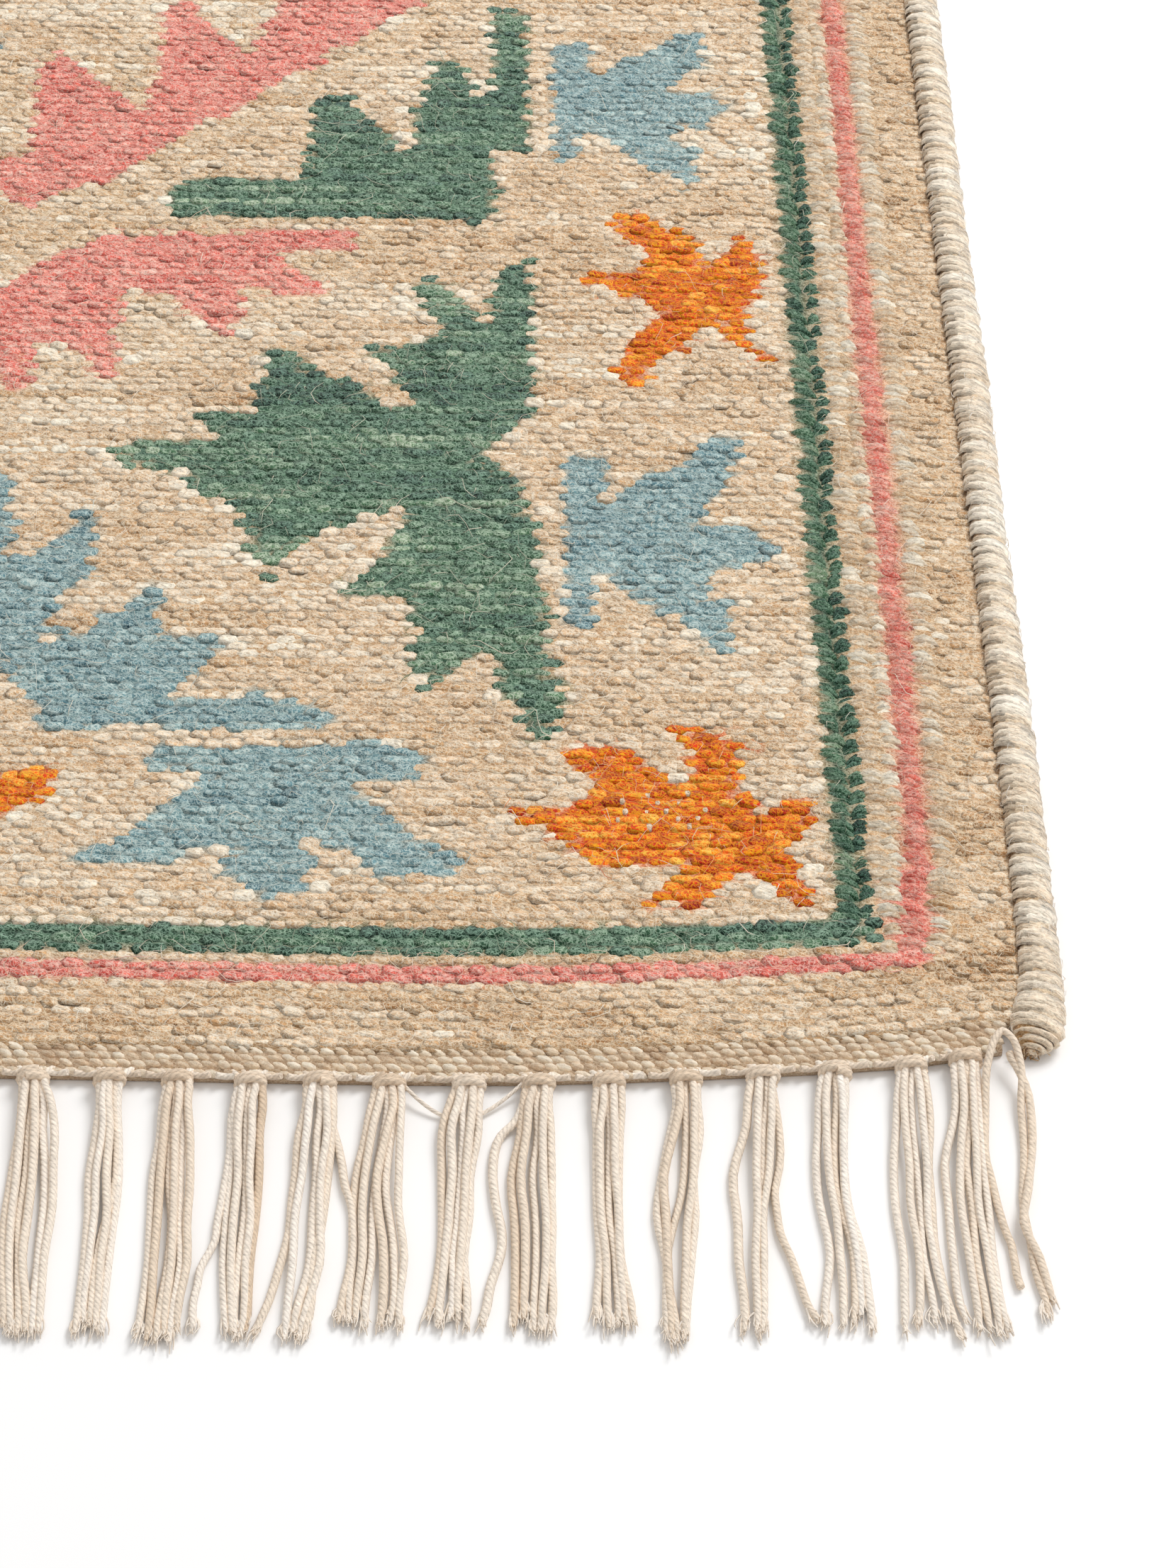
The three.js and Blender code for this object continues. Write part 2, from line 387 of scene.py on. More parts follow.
class Cartoon:
    """The weaver's cartoon: which wool goes where."""

    EDGE_WANDER = 1.1 * MM

    def __init__(self) -> None:
        """Takes the small wander that keeps mirrored leaves from being copies."""
        self.wander_x = Drift(11)
        self.wander_y = Drift(12)

    def wools(self, x: ndarray, y: ndarray) -> ndarray:
        """The wool at each place.

        Args:
            x: places across, in metres.
            y: places along, in metres, as the weave was planned, before its ends drew back.

        Returns:
            An array of Wool members.
        """
        wander = self.EDGE_WANDER
        along_x = np.abs(x + wander * self.wander_x.at(x, y, 0.016, 0.012))
        along_y = y + wander * self.wander_y.at(x, y, 0.014, 0.014)
        wools = np.full(np.shape(x), Wool.GROUND, object)
        for placed in PATTERN:
            outline = placed.outline()
            hit = inside(outline, along_x, along_y)
            if placed.both_ends:
                hit |= inside(outline, along_x, -along_y)
            wools[hit] = placed.leaf.wool
        slow = 1.2 * MM * self.wander_x.at(y, x, 0.07, 0.4)
        for stripe in STRIPES:
            wools[stripe.holds(np.abs(x) + slow, np.abs(y))] = stripe.wool
        return wools


# ------------ places read from the frame


def sections(node: Object, axis: int) -> tuple[ndarray, ndarray, ndarray]:
    """The box of a long solid at each of the stations that its vertices stand on.

    Args:
        node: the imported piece.
        axis: 0 where the stations follow X, 1 where they follow Y.

    Returns:
        The stations, and the lowest and highest corner at each.
    """
    points = np.array([vertex.co for vertex in node.data.vertices])
    stations = np.unique(np.round(points[:, axis], 5))
    groups = [points[np.abs(points[:, axis] - station) < 2e-5] for station in stations]
    return stations, np.array([g.min(0) for g in groups]), np.array([g.max(0) for g in groups])


class RugShape:
    """The rug's outline, and the way from planned weave to cloth as it lies."""

    DRAW_FADE = (0.3, 0.4)  # the ends' curve dies out between these distances from the middle
    GAP = 0.3 * MM
    ROW_WANDER = 0.45 * MM
    SQUEEZE_FROM = 0.24
    EDGE_HOLD = 0.02

    def __init__(self, nodes: dict[str, Object]) -> None:
        """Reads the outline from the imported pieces.

        Args:
            nodes: the frame's nodes by name.
        """
        low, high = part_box("kilim_panel")
        self.side = high.x
        self.thick = high.z
        self.end = high.y
        self.bottom = low.z
        self.heading_x, heading_low, heading_high = sections(nodes["heading_front"], 0)
        self.heading_outer = heading_low[:, 1]
        self.heading_width = float(np.median(heading_high[:, 1] - heading_low[:, 1]))
        self.heading_side = float(self.heading_x.max())
        self.roll_y, roll_low, roll_high = sections(nodes["selvedge_right"], 1)
        self.roll_inner = roll_low[:, 0]
        self.roll_outer = roll_high[:, 0]
        self.roll_height = roll_high[:, 2]
        self.furthest = float(-self.heading_outer.min())
        self.wander = Drift(21)

    def end_line(self, x: ndarray) -> ndarray:
        """Y of the front heading's outer side at places across the rug."""
        return np.interp(x, self.heading_x, self.heading_outer)

    def draw(self, x: ndarray) -> ndarray:
        """How far each warp's end is drawn back from the furthest one."""
        return self.end_line(x) + self.furthest

    def inner_side(self, y: ndarray) -> ndarray:
        """X of the panel's right side at places along the rug."""
        return np.interp(y, self.roll_y, self.roll_inner) - self.GAP

    def lay(self, x: ndarray, y: ndarray) -> tuple[ndarray, ndarray]:
        """Takes planned places to where they lie in the rug.

        Args:
            x: planned places across.
            y: planned places along.

        Returns:
            The places across and along.
        """
        back = np.sign(y) * self.draw(x) * smoothstep(*self.DRAW_FADE, np.abs(y))
        edge = 1 - smoothstep(self.end - self.EDGE_HOLD, self.end, np.abs(y))
        wave = self.ROW_WANDER * edge * self.wander.at(x, y, 0.055, 0.035)
        laid_y = y - back + wave
        squeeze = self.inner_side(laid_y) / self.side
        outward = np.maximum(np.abs(x) - self.SQUEEZE_FROM, 0) / (self.side - self.SQUEEZE_FROM)
        return x * (1 + (squeeze - 1) * outward), laid_y


# ------------ node trees that lay yarn


def new_tree(name: str, inputs: tuple[tuple[str, str], ...]) -> NodeTree:
    """A Geometry Nodes tree with a geometry in and out and named inputs.

    Args:
        name: the tree's name.
        inputs: names and socket types.

    Returns:
        The tree, with a group input and output node in it.
    """
    tree = bpy.data.node_groups.new(name, "GeometryNodeTree")
    tree.interface.new_socket("Geometry", in_out="INPUT", socket_type="NodeSocketGeometry")
    for label, kind in inputs:
        tree.interface.new_socket(label, in_out="INPUT", socket_type=kind)
    tree.interface.new_socket("Geometry", in_out="OUTPUT", socket_type="NodeSocketGeometry")
    tree.nodes.new("NodeGroupInput").name = "in"
    tree.nodes.new("NodeGroupOutput").name = "out"
    return tree


def finish_tree(tree: NodeTree, shape: NodeSocket) -> None:
    """Ends a tree in Realize Instances and Set Material.

    Args:
        tree: the tree, which has an input named Finish.
        shape: the socket that holds what it made.
    """
    realize = tree.nodes.new("GeometryNodeRealizeInstances")
    dress = tree.nodes.new("GeometryNodeSetMaterial")
    tree.links.new(shape, realize.inputs["Geometry"])
    tree.links.new(realize.outputs["Geometry"], dress.inputs["Geometry"])
    tree.links.new(tree.nodes["in"].outputs["Finish"], dress.inputs["Material"])
    tree.links.new(dress.outputs["Geometry"], tree.nodes["out"].inputs["Geometry"])


def named(tree: NodeTree, label: str, kind: str) -> NodeSocket:
    """The live output of a Named Attribute node.

    Args:
        tree: the tree it is made in.
        label: the attribute's name.
        kind: FLOAT, FLOAT_VECTOR or FLOAT_COLOR.

    Returns:
        The output socket of that kind.
    """
    node = tree.nodes.new("GeometryNodeInputNamedAttribute")
    node.data_type = kind
    node.inputs["Name"].default_value = label
    return next(s for s in node.outputs if s.name == "Attribute" and s.enabled)


def instance_tree() -> NodeTree:
    """The tree that sets one shape on every point, turned and sized by the point's attributes."""
    tree = new_tree("lay_shapes", (("Shape", "NodeSocketObject"), ("Finish", "NodeSocketMaterial")))
    info = tree.nodes.new("GeometryNodeObjectInfo")
    place = tree.nodes.new("GeometryNodeInstanceOnPoints")
    tree.links.new(tree.nodes["in"].outputs["Shape"], info.inputs["Object"])
    tree.links.new(tree.nodes["in"].outputs["Geometry"], place.inputs["Points"])
    tree.links.new(info.outputs["Geometry"], place.inputs["Instance"])
    tree.links.new(named(tree, "turn", "FLOAT_VECTOR"), place.inputs["Rotation"])
    tree.links.new(named(tree, "size", "FLOAT_VECTOR"), place.inputs["Scale"])
    finish_tree(tree, place.outputs["Instances"])
    return tree


def cord_tree() -> NodeTree:
    """The tree that spins a round cord along every line, as thick as its points say.

    The attribute ply keeps cosine and sine round the cord, and length along it.
    """
    tree = new_tree("spin_cords", (("Sides", "NodeSocketInt"), ("Finish", "NodeSocketMaterial")))
    source = tree.nodes["in"]
    curve = tree.nodes.new("GeometryNodeMeshToCurve")
    along = tree.nodes.new("GeometryNodeCaptureAttribute")
    along.capture_items.new("FLOAT", "length")
    parameter = tree.nodes.new("GeometryNodeSplineParameter")
    circle = tree.nodes.new("GeometryNodeCurvePrimitiveCircle")
    circle.inputs["Radius"].default_value = 1
    around = tree.nodes.new("GeometryNodeCaptureAttribute")
    around.capture_items.new("VECTOR", "around")
    sweep = tree.nodes.new("GeometryNodeCurveToMesh")
    sweep.inputs["Fill Caps"].default_value = True
    split = tree.nodes.new("ShaderNodeSeparateXYZ")
    join = tree.nodes.new("ShaderNodeCombineXYZ")
    store = tree.nodes.new("GeometryNodeStoreNamedAttribute")
    store.data_type = "FLOAT_VECTOR"
    store.domain = "POINT"
    store.inputs["Name"].default_value = "ply"
    smooth = tree.nodes.new("GeometryNodeSetShadeSmooth")
    link = tree.links.new
    link(source.outputs["Geometry"], curve.inputs["Mesh"])
    link(curve.outputs["Curve"], along.inputs["Geometry"])
    link(named(tree, "thick", "FLOAT"), sweep.inputs["Scale"])
    link(parameter.outputs["Length"], along.inputs["length"])
    link(source.outputs["Sides"], circle.inputs["Resolution"])
    link(circle.outputs["Curve"], around.inputs["Geometry"])
    link(tree.nodes.new("GeometryNodeInputPosition").outputs["Position"], around.inputs["around"])
    link(along.outputs["Geometry"], sweep.inputs["Curve"])
    link(around.outputs["Geometry"], sweep.inputs["Profile Curve"])
    link(around.outputs["around"], split.inputs["Vector"])
    link(split.outputs["X"], join.inputs["X"])
    link(split.outputs["Y"], join.inputs["Y"])
    link(along.outputs["length"], join.inputs["Z"])
    link(sweep.outputs["Mesh"], store.inputs["Geometry"])
    link(join.outputs["Vector"], store.inputs["Value"])
    link(store.outputs["Geometry"], smooth.inputs["Geometry"])
    finish_tree(tree, smooth.outputs["Geometry"])
    return tree


def set_input(modifier: Modifier, label: str, value: object) -> None:
    """Sets a tree's named input on a modifier, by its socket's identifier.

    Args:
        modifier: the Geometry Nodes modifier.
        label: the input's name.
        value: what it is set to.
    """
    for item in modifier.node_group.interface.items_tree:
        if item.item_type == "SOCKET" and item.in_out == "INPUT" and item.name == label:
            modifier[item.identifier] = value


def add_attribute(mesh: Mesh, name: str, kind: str, values: ndarray) -> None:
    """Stores one value for each vertex of a mesh.

    Args:
        mesh: the mesh.
        name: the attribute's name.
        kind: FLOAT, FLOAT_VECTOR or FLOAT_COLOR.
        values: the values, one row a vertex.
    """
    key = {"FLOAT": "value", "FLOAT_VECTOR": "vector", "FLOAT_COLOR": "color"}[kind]
    layer = mesh.attributes.new(name, kind, "POINT")
    layer.data.foreach_set(key, np.asarray(values, np.float32).ravel())


def bake(holder: Object, tree: NodeTree, inputs: dict[str, object]) -> Object:
    """Runs a tree on an object and keeps the result as the object's plain mesh.

    Args:
        holder: the object that carries the points or lines.
        tree: the Geometry Nodes tree.
        inputs: values for its named inputs.

    Returns:
        The same object.
    """
    modifier = holder.modifiers.new(tree.name, "NODES")
    modifier.node_group = tree
    for label, value in inputs.items():
        set_input(modifier, label, value)
    graph = bpy.context.evaluated_depsgraph_get()
    made = bpy.data.meshes.new_from_object(holder.evaluated_get(graph))
    holder.modifiers.remove(modifier)
    old, name = holder.data, holder.name
    holder.data = made
    bpy.data.meshes.remove(old)
    made.name = name
    for spare in ("turn", "size", "thick"):
        if spare in made.attributes:
            made.attributes.remove(made.attributes[spare])
    return holder


def show(name: str, mesh: Mesh) -> Object:
    """Puts a mesh in the scene under a name."""
    thing = bpy.data.objects.new(name, mesh)
    bpy.context.scene.collection.objects.link(thing)
    return thing


@dataclass
class Spots:
    """Places for one repeated shape, with the turn, size and colour of each."""

    places: ndarray
    turns: ndarray
    sizes: ndarray
    colours: ndarray

    def taken(self, chosen: ndarray) -> Spots:
        """The spots that a mask or index chooses."""
        return Spots(self.places[chosen], self.turns[chosen], self.sizes[chosen], self.colours[chosen])


SPOT_PARTS = ("places", "turns", "sizes", "colours")


@dataclass
class Lines:
    """Cords as lines of points, gathered one after another."""

    points: list[ndarray] = field(default_factory=list)
    thick: list[ndarray] = field(default_factory=list)
    colours: list[ndarray] = field(default_factory=list)

    def add(self, points: ndarray, thick: float | ndarray, colour: ndarray) -> None:
        """Adds a cord.

        Args:
            points: its centre line.
            thick: its radius, one for all or one for each point.
            colour: its linear colour with alpha.
        """
        self.points.append(np.asarray(points, float))
        self.thick.append(np.broadcast_to(np.asarray(thick, float), len(points)).copy())
        self.colours.append(np.tile(colour, (len(points), 1)))


class Loom:
    """Turns spots and lines into finished pieces that ride on the rug's body."""

    def __init__(self) -> None:
        """Builds the two node trees."""
        self.shapes = instance_tree()
        self.cords = cord_tree()

    def lay(
        self, name: str, shape: Mesh, spots: Spots, finish: Material, slot: str
    ) -> Object:
        """Lays a shape on every spot.

        Args:
            name: the piece's name.
            shape: the mesh to repeat.
            spots: where it goes.
            finish: its material.
            slot: not used.
        """
        mesh = bpy.data.meshes.new(name)
        mesh.from_pydata(spots.places.tolist(), [], [])
        add_attribute(mesh, "turn", "FLOAT_VECTOR", spots.turns)
        add_attribute(mesh, "size", "FLOAT_VECTOR", spots.sizes)
        add_attribute(mesh, "yarn", "FLOAT_COLOR", spots.colours)
        shape.materials.append(finish)
        pattern = show(f"{name}_shape", shape)
        piece = bake(show(name, mesh), self.shapes, {"Shape": pattern, "Finish": finish})
        bpy.data.objects.remove(pattern)
        return self.settle(piece, slot)

    def spin(
        self, name: str, lines: Lines, sides: int, finish: Material, slot: str
    ) -> Object:
        """Spins a cord along every line.

        Args:
            name: the piece's name.
            lines: the cords' centre lines.
            sides: corners round each cord.
            finish: its material.
            slot: not used.
        """
        mesh = bpy.data.meshes.new(name)
        edges: list[tuple[int, int]] = []
        start = 0
        for line in lines.points:
            edges += [(start + i, start + i + 1) for i in range(len(line) - 1)]
            start += len(line)
        mesh.from_pydata(np.concatenate(lines.points).tolist(), edges, [])
        add_attribute(mesh, "thick", "FLOAT", np.concatenate(lines.thick))
        add_attribute(mesh, "yarn", "FLOAT_COLOR", np.concatenate(lines.colours))
        piece = bake(show(name, mesh), self.cords, {"Sides": sides, "Finish": finish})
        return self.settle(piece, slot)

    @staticmethod
    def settle(piece: Object, slot: str) -> Object:
        """Makes a piece ride on the rug, and reports its triangle count."""
        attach(piece, BODY)
        piece.data.calc_loop_triangles()
        LOG.info("%s: %d triangles", piece.name, len(piece.data.loop_triangles))
        return piece


# ------------ the shapes that repeat


def closed_shape(
    name: str, points: list[tuple[float, float, float]], faces: list[list[int]], hidden: int = 0
) -> Mesh:
    """A small closed mesh whose faces point outwards.

    Args:
        name: the mesh's name.
        points: its corners.
        faces: its faces as lists of corners.
        hidden: how many of the last faces lie out of sight and stay unsmoothed.

    Returns:
        The mesh.
    """
    mesh = bpy.data.meshes.new(name)
    mesh.from_pydata(points, [], faces)
    form = bmesh.new()
    form.from_mesh(mesh)
    bmesh.ops.recalc_face_normals(form, faces=form.faces)
    form.to_mesh(mesh)
    form.free()
    mesh.polygons.foreach_set("use_smooth", [i < len(faces) - hidden for i in range(len(faces))])
    return mesh


def float_shape() -> Mesh:
    """One pass of weft over a warp: a long low hump, 2 long, 2 wide and 1 high, its ends sunk."""
    right = [(1, 0.1, -0.45), (0.5, 0.98, -0.3), (-0.5, 0.94, -0.3)]
    left = [(-1, -0.1, -0.45), (-0.5, -0.98, -0.3), (0.5, -0.94, -0.3)]
    base = [*right, *left]
    ridge = [(0.4, 0.08, 0.96), (-0.4, -0.08, 0.96)]
    faces = [[0, 1, 6], [1, 2, 7, 6], [2, 3, 7], [3, 4, 7], [4, 5, 6, 7], [5, 0, 6], [5, 4, 3, 2, 1, 0]]
    return closed_shape("float_shape", base + ridge, faces, 1)


def arc_shape(bow: float) -> Mesh:
    """A soft strand that rises over a warp and dips at both ends, 2 long, 2 wide and 1 high.

    Args:
        bow: how far its middle bends towards +Y.

    Returns:
        The mesh.
    """
    points = [(-1.0, -0.5 * bow, -0.5)]
    for x, wide, high in ((-0.6, 0.8, 0.6), (0.0, 1.0, 1.0), (0.6, 0.8, 0.6)):
        middle = bow * (0.5 - x * x)
        points += [(x, middle + wide, -0.4), (x, middle, high), (x, middle - wide, -0.4)]
    points.append((1.0, -0.5 * bow, -0.5))
    faces = []
    for k in range(3):
        ahead = (k + 1) % 3
        faces += [[0, 1 + k, 1 + ahead], [10, 7 + k, 7 + ahead]]
        faces += [[start + k, start + ahead, start + 3 + ahead, start + 3 + k] for start in (1, 4)]
    return closed_shape("arc_shape", points, faces, 4)


def ring_shape(turns: int, thick: float) -> Mesh:
    """A turn of yarn round a roll: a ring about Y, 2 across and 2 along, rounded outside.

    Args:
        turns: corners round the ring.
        thick: how thick the band is, as a share of the ring's radius.

    Returns:
        The mesh.
    """
    band = [(1 - thick, -1.0), (1.0, 0.0), (1 - thick, 1.0)]
    count = len(band)
    points = []
    for i in range(turns):
        angle = 2 * math.pi * i / turns
        points += [(reach * math.cos(angle), along, reach * math.sin(angle)) for reach, along in band]
    faces = []
    for k in range(count):
        side = (k + 1) % count
        for i in range(turns):
            here, ahead = i * count, (i + 1) % turns * count
            faces.append([here + k, here + side, ahead + side, ahead + k])
    return closed_shape("ring_shape", points, faces, turns)


@dataclass(frozen=True)
class Hair:
    """One kind of loose fibre: a thin three-sided arc, pointed at both ends."""

    name: str
    length: float
    bend: float
    lift: float
    steps: int
    thick: float

    def shape(self) -> Mesh:
        """Builds the fibre along X, its middle swung to one side and raised."""
        points, faces = [(-0.5 * self.length, 0.0, -0.4 * self.lift)], []
        for s in range(1, self.steps):
            share = s / self.steps
            arch = math.sin(math.pi * share)
            for k in range(3):
                angle = math.tau * k / 3
                swing = self.bend * math.sin(1.5 * math.pi * share)
                across = swing + self.thick * math.cos(angle)
                up = self.lift * (arch - 0.4) + self.thick * math.sin(angle)
                points.append(((share - 0.5) * self.length, across, up))
        tip = len(points)
        points.append((0.5 * self.length, -self.bend, -0.4 * self.lift))
        for k in range(3):
            ahead = (k + 1) % 3
            faces += [[0, 1 + k, 1 + ahead], [tip, tip - 3 + k, tip - 3 + ahead]]
            for s in range(self.steps - 2):
                low = 1 + s * 3
                faces.append([low + k, low + ahead, low + 3 + ahead, low + 3 + k])
        return closed_shape(f"{self.name}_shape", points, faces)


# ------------ finishes


def shader_group(name: str, inputs: tuple[tuple[str, float], ...], outputs: tuple[str, ...]) -> NodeTree:
    """A shader node group with named values in and out.

    Args:
        name: the group's name.
        inputs: names and first values.
        outputs: names.

    Returns:
        The group, with its input and output nodes in it.
    """
    group = bpy.data.node_groups.new(name, "ShaderNodeTree")
    for label, value in inputs:
        group.interface.new_socket(label, in_out="INPUT", socket_type="NodeSocketFloat").default_value = value
    for label in outputs:
        kind = "NodeSocketVector" if label == "Normal" else "NodeSocketFloat"
        group.interface.new_socket(label, in_out="OUTPUT", socket_type=kind)
    group.nodes.new("NodeGroupInput").name = "in"
    group.nodes.new("NodeGroupOutput").name = "out"
    return group


def reckon(
    tree: NodeTree, operation: str, *terms: float | tuple[float, ...] | NodeSocket
) -> NodeSocket:
    """One sum in a shader tree, on vectors where the first term is one.

    Args:
        tree: the tree.
        operation: the node's operation.
        terms: numbers, vectors or sockets.

    Returns:
        The result's socket.
    """
    vector = getattr(terms[0], "type", "") in ("VECTOR", "RGBA")
    node = tree.nodes.new("ShaderNodeVectorMath" if vector else "ShaderNodeMath")
    node.operation = operation
    for place, term in enumerate(terms):
        slot = node.inputs["Scale"] if place and operation == "SCALE" else node.inputs[place]
        if isinstance(term, NodeSocket):
            tree.links.new(term, slot)
        else:
            slot.default_value = term
    return node.outputs[0]


def fibre_group() -> NodeTree:
    """Fibres lying along X in the yarn: a shade near 1 and a height, both changing over the surface."""
    group = shader_group("fibre", (("Lean", 0.3), ("Contrast", 0.3), ("Rise", 1.0)), ("Shade", "Height"))
    source, sink = group.nodes["in"], group.nodes["out"]
    place = group.nodes.new("ShaderNodeTexCoord")
    lean = group.nodes.new("ShaderNodeVectorRotate")
    lean.rotation_type = "Z_AXIS"
    group.links.new(place.outputs["Object"], lean.inputs["Vector"])
    group.links.new(source.outputs["Lean"], lean.inputs["Angle"])
    upright = group.nodes.new("ShaderNodeCombineXYZ")
    upright.inputs["X"].default_value = 1
    upright.inputs["Y"].default_value = 1
    group.links.new(source.outputs["Rise"], upright.inputs["Z"])
    lift = reckon(group, "MULTIPLY", lean.outputs["Vector"], upright.outputs["Vector"])
    values = []
    for along, across in ((260, 1000), (640, 2600)):
        noise = group.nodes.new("ShaderNodeTexNoise")
        noise.inputs["Scale"].default_value = 1
        noise.inputs["Detail"].default_value = 2
        group.links.new(reckon(group, "MULTIPLY", lift, (along, across, across)), noise.inputs["Vector"])
        values.append(noise.outputs["Fac"])
    halves = [reckon(group, "MULTIPLY", value, 0.5) for value in values]
    mixed = reckon(group, "ADD", *halves)
    swing = reckon(group, "MULTIPLY", reckon(group, "SUBTRACT", mixed, 0.5), 4.6)
    shade = reckon(group, "ADD", reckon(group, "MULTIPLY", swing, source.outputs["Contrast"]), 1.0)
    group.links.new(reckon(group, "MINIMUM", shade, 1.3), sink.inputs["Shade"])
    group.links.new(mixed, sink.inputs["Height"])
    return group


def tangle_group() -> NodeTree:
    """Fine curled fibres over the wool: a mask of the pale ones."""
    group = shader_group("tangle", (("Fine", 0.036), ("Soft", 0.03)), ("Pale",))
    source, sink = group.nodes["in"], group.nodes["out"]
    place = group.nodes.new("ShaderNodeTexCoord")
    masks = []
    layers = ((0.25, 260, 850, 1.0), (1.35, 300, 800, 0.9), (2.45, 250, 900, 0.8), (0.85, 420, 760, 0.7))
    for number, (angle, along, across, strong) in enumerate(layers):
        turn = group.nodes.new("ShaderNodeVectorRotate")
        turn.rotation_type = "Z_AXIS"
        turn.inputs["Angle"].default_value = angle
        turn.inputs["Center"].default_value = (0.11 * number, 0.07, 0.0)
        group.links.new(place.outputs["Object"], turn.inputs["Vector"])
        noise = group.nodes.new("ShaderNodeTexNoise")
        noise.inputs["Scale"].default_value = 1
        noise.inputs["Detail"].default_value = 1
        scaled = reckon(group, "MULTIPLY", turn.outputs["Vector"], (along, across, across))
        group.links.new(scaled, noise.inputs["Vector"])
        off = reckon(group, "ABSOLUTE", reckon(group, "SUBTRACT", noise.outputs["Fac"], 0.5))
        line = reckon(group, "SUBTRACT", source.outputs["Fine"], off)
        line = reckon(group, "DIVIDE", line, source.outputs["Soft"])
        line = reckon(group, "MINIMUM", reckon(group, "MAXIMUM", line, 0.0), 1.0)
        masks.append(reckon(group, "MULTIPLY", line, strong))
    pale = masks[0]
    for mask in masks[1:]:
        pale = reckon(group, "MAXIMUM", pale, mask)
    group.links.new(pale, sink.inputs["Pale"])
    return group


def calm_group() -> NodeTree:
    """The surface's slope drawn towards level, as light spreads in wool."""
    group = shader_group("calm", (("Calm", 0.4),), ("Normal",))
    source, sink = group.nodes["in"], group.nodes["out"]
    place = group.nodes.new("ShaderNodeTexCoord")
    level = group.nodes.new("ShaderNodeCombineXYZ")
    group.links.new(source.outputs["Calm"], level.inputs["Z"])
    share = reckon(group, "SUBTRACT", 1.0, source.outputs["Calm"])
    kept = reckon(group, "SCALE", place.outputs["Normal"], share)
    both = reckon(group, "ADD", kept, level.outputs["Vector"])
    turned_out = group.nodes.new("ShaderNodeVectorTransform")
    turned_out.vector_type = "NORMAL"
    turned_out.convert_from = "OBJECT"
    turned_out.convert_to = "WORLD"
    group.links.new(both, turned_out.inputs["Vector"])
    group.links.new(turned_out.outputs["Vector"], sink.inputs["Normal"])
    return group


def ply_group() -> NodeTree:
    """Plies twisted into a cord: a shade near 1, darker in the grooves between plies as painted shade, and a
    height, from the attribute ply.
    """
    group = shader_group("plies", (("Lay", 0.0048), ("Contrast", 0.25)), ("Shade", "Height"))
    source, sink = group.nodes["in"], group.nodes["out"]
    place = group.nodes.new("ShaderNodeAttribute")
    place.attribute_name = "ply"
    split = group.nodes.new("ShaderNodeSeparateXYZ")
    group.links.new(place.outputs["Vector"], split.inputs["Vector"])
    angle = reckon(group, "ARCTAN2", split.outputs["Y"], split.outputs["X"])
    lays = reckon(group, "DIVIDE", split.outputs["Z"], source.outputs["Lay"])
    run = reckon(group, "MULTIPLY", lays, math.tau)
    wave = reckon(group, "COSINE", reckon(group, "MULTIPLY", reckon(group, "ADD", angle, run), 4.0))
    crest = reckon(group, "POWER", reckon(group, "ADD", reckon(group, "MULTIPLY", wave, 0.5), 0.5), 0.45)
    fine = reckon(group, "SINE", reckon(group, "MULTIPLY", reckon(group, "ADD", angle, run), 13.0))
    # The shade is lowest in the grooves between the plies: painted shade. A fine ripple is added.
    shade = reckon(group, "MULTIPLY", reckon(group, "SUBTRACT", crest, 0.75), source.outputs["Contrast"])
    shade = reckon(group, "ADD", reckon(group, "ADD", shade, 1.0), reckon(group, "MULTIPLY", fine, 0.05))
    group.links.new(shade, sink.inputs["Shade"])
    group.links.new(reckon(group, "ADD", crest, reckon(group, "MULTIPLY", fine, 0.08)), sink.inputs["Height"])
    return group


def weave_groove_shade_group() -> NodeTree:
    """Weft floats side by side in offset rows, for the underside: a shade near 1, darker in the grooves as
    painted shade, and a height.
    """
    group = shader_group("weave", (), ("Shade", "Height"))
    place = group.nodes.new("ShaderNodeTexCoord")
    rows = group.nodes.new("ShaderNodeTexBrick")
    sizes = {"Scale": 100, "Brick Width": 0.52, "Row Height": 0.315, "Mortar Size": 0.1, "Mortar Smooth": 1}
    for label, value in sizes.items():
        rows.inputs[label].default_value = value
    group.links.new(place.outputs["Object"], rows.inputs["Vector"])
    height = reckon(group, "SUBTRACT", 1.0, rows.outputs["Fac"])
    # The grooves between the floats get a lower shade: painted shade. The same pattern is the bump's height.
    shade = reckon(group, "ADD", reckon(group, "MULTIPLY", height, 0.34), 0.72)
    group.links.new(shade, group.nodes["out"].inputs["Shade"])
    group.links.new(height, group.nodes["out"].inputs["Height"])
    return group


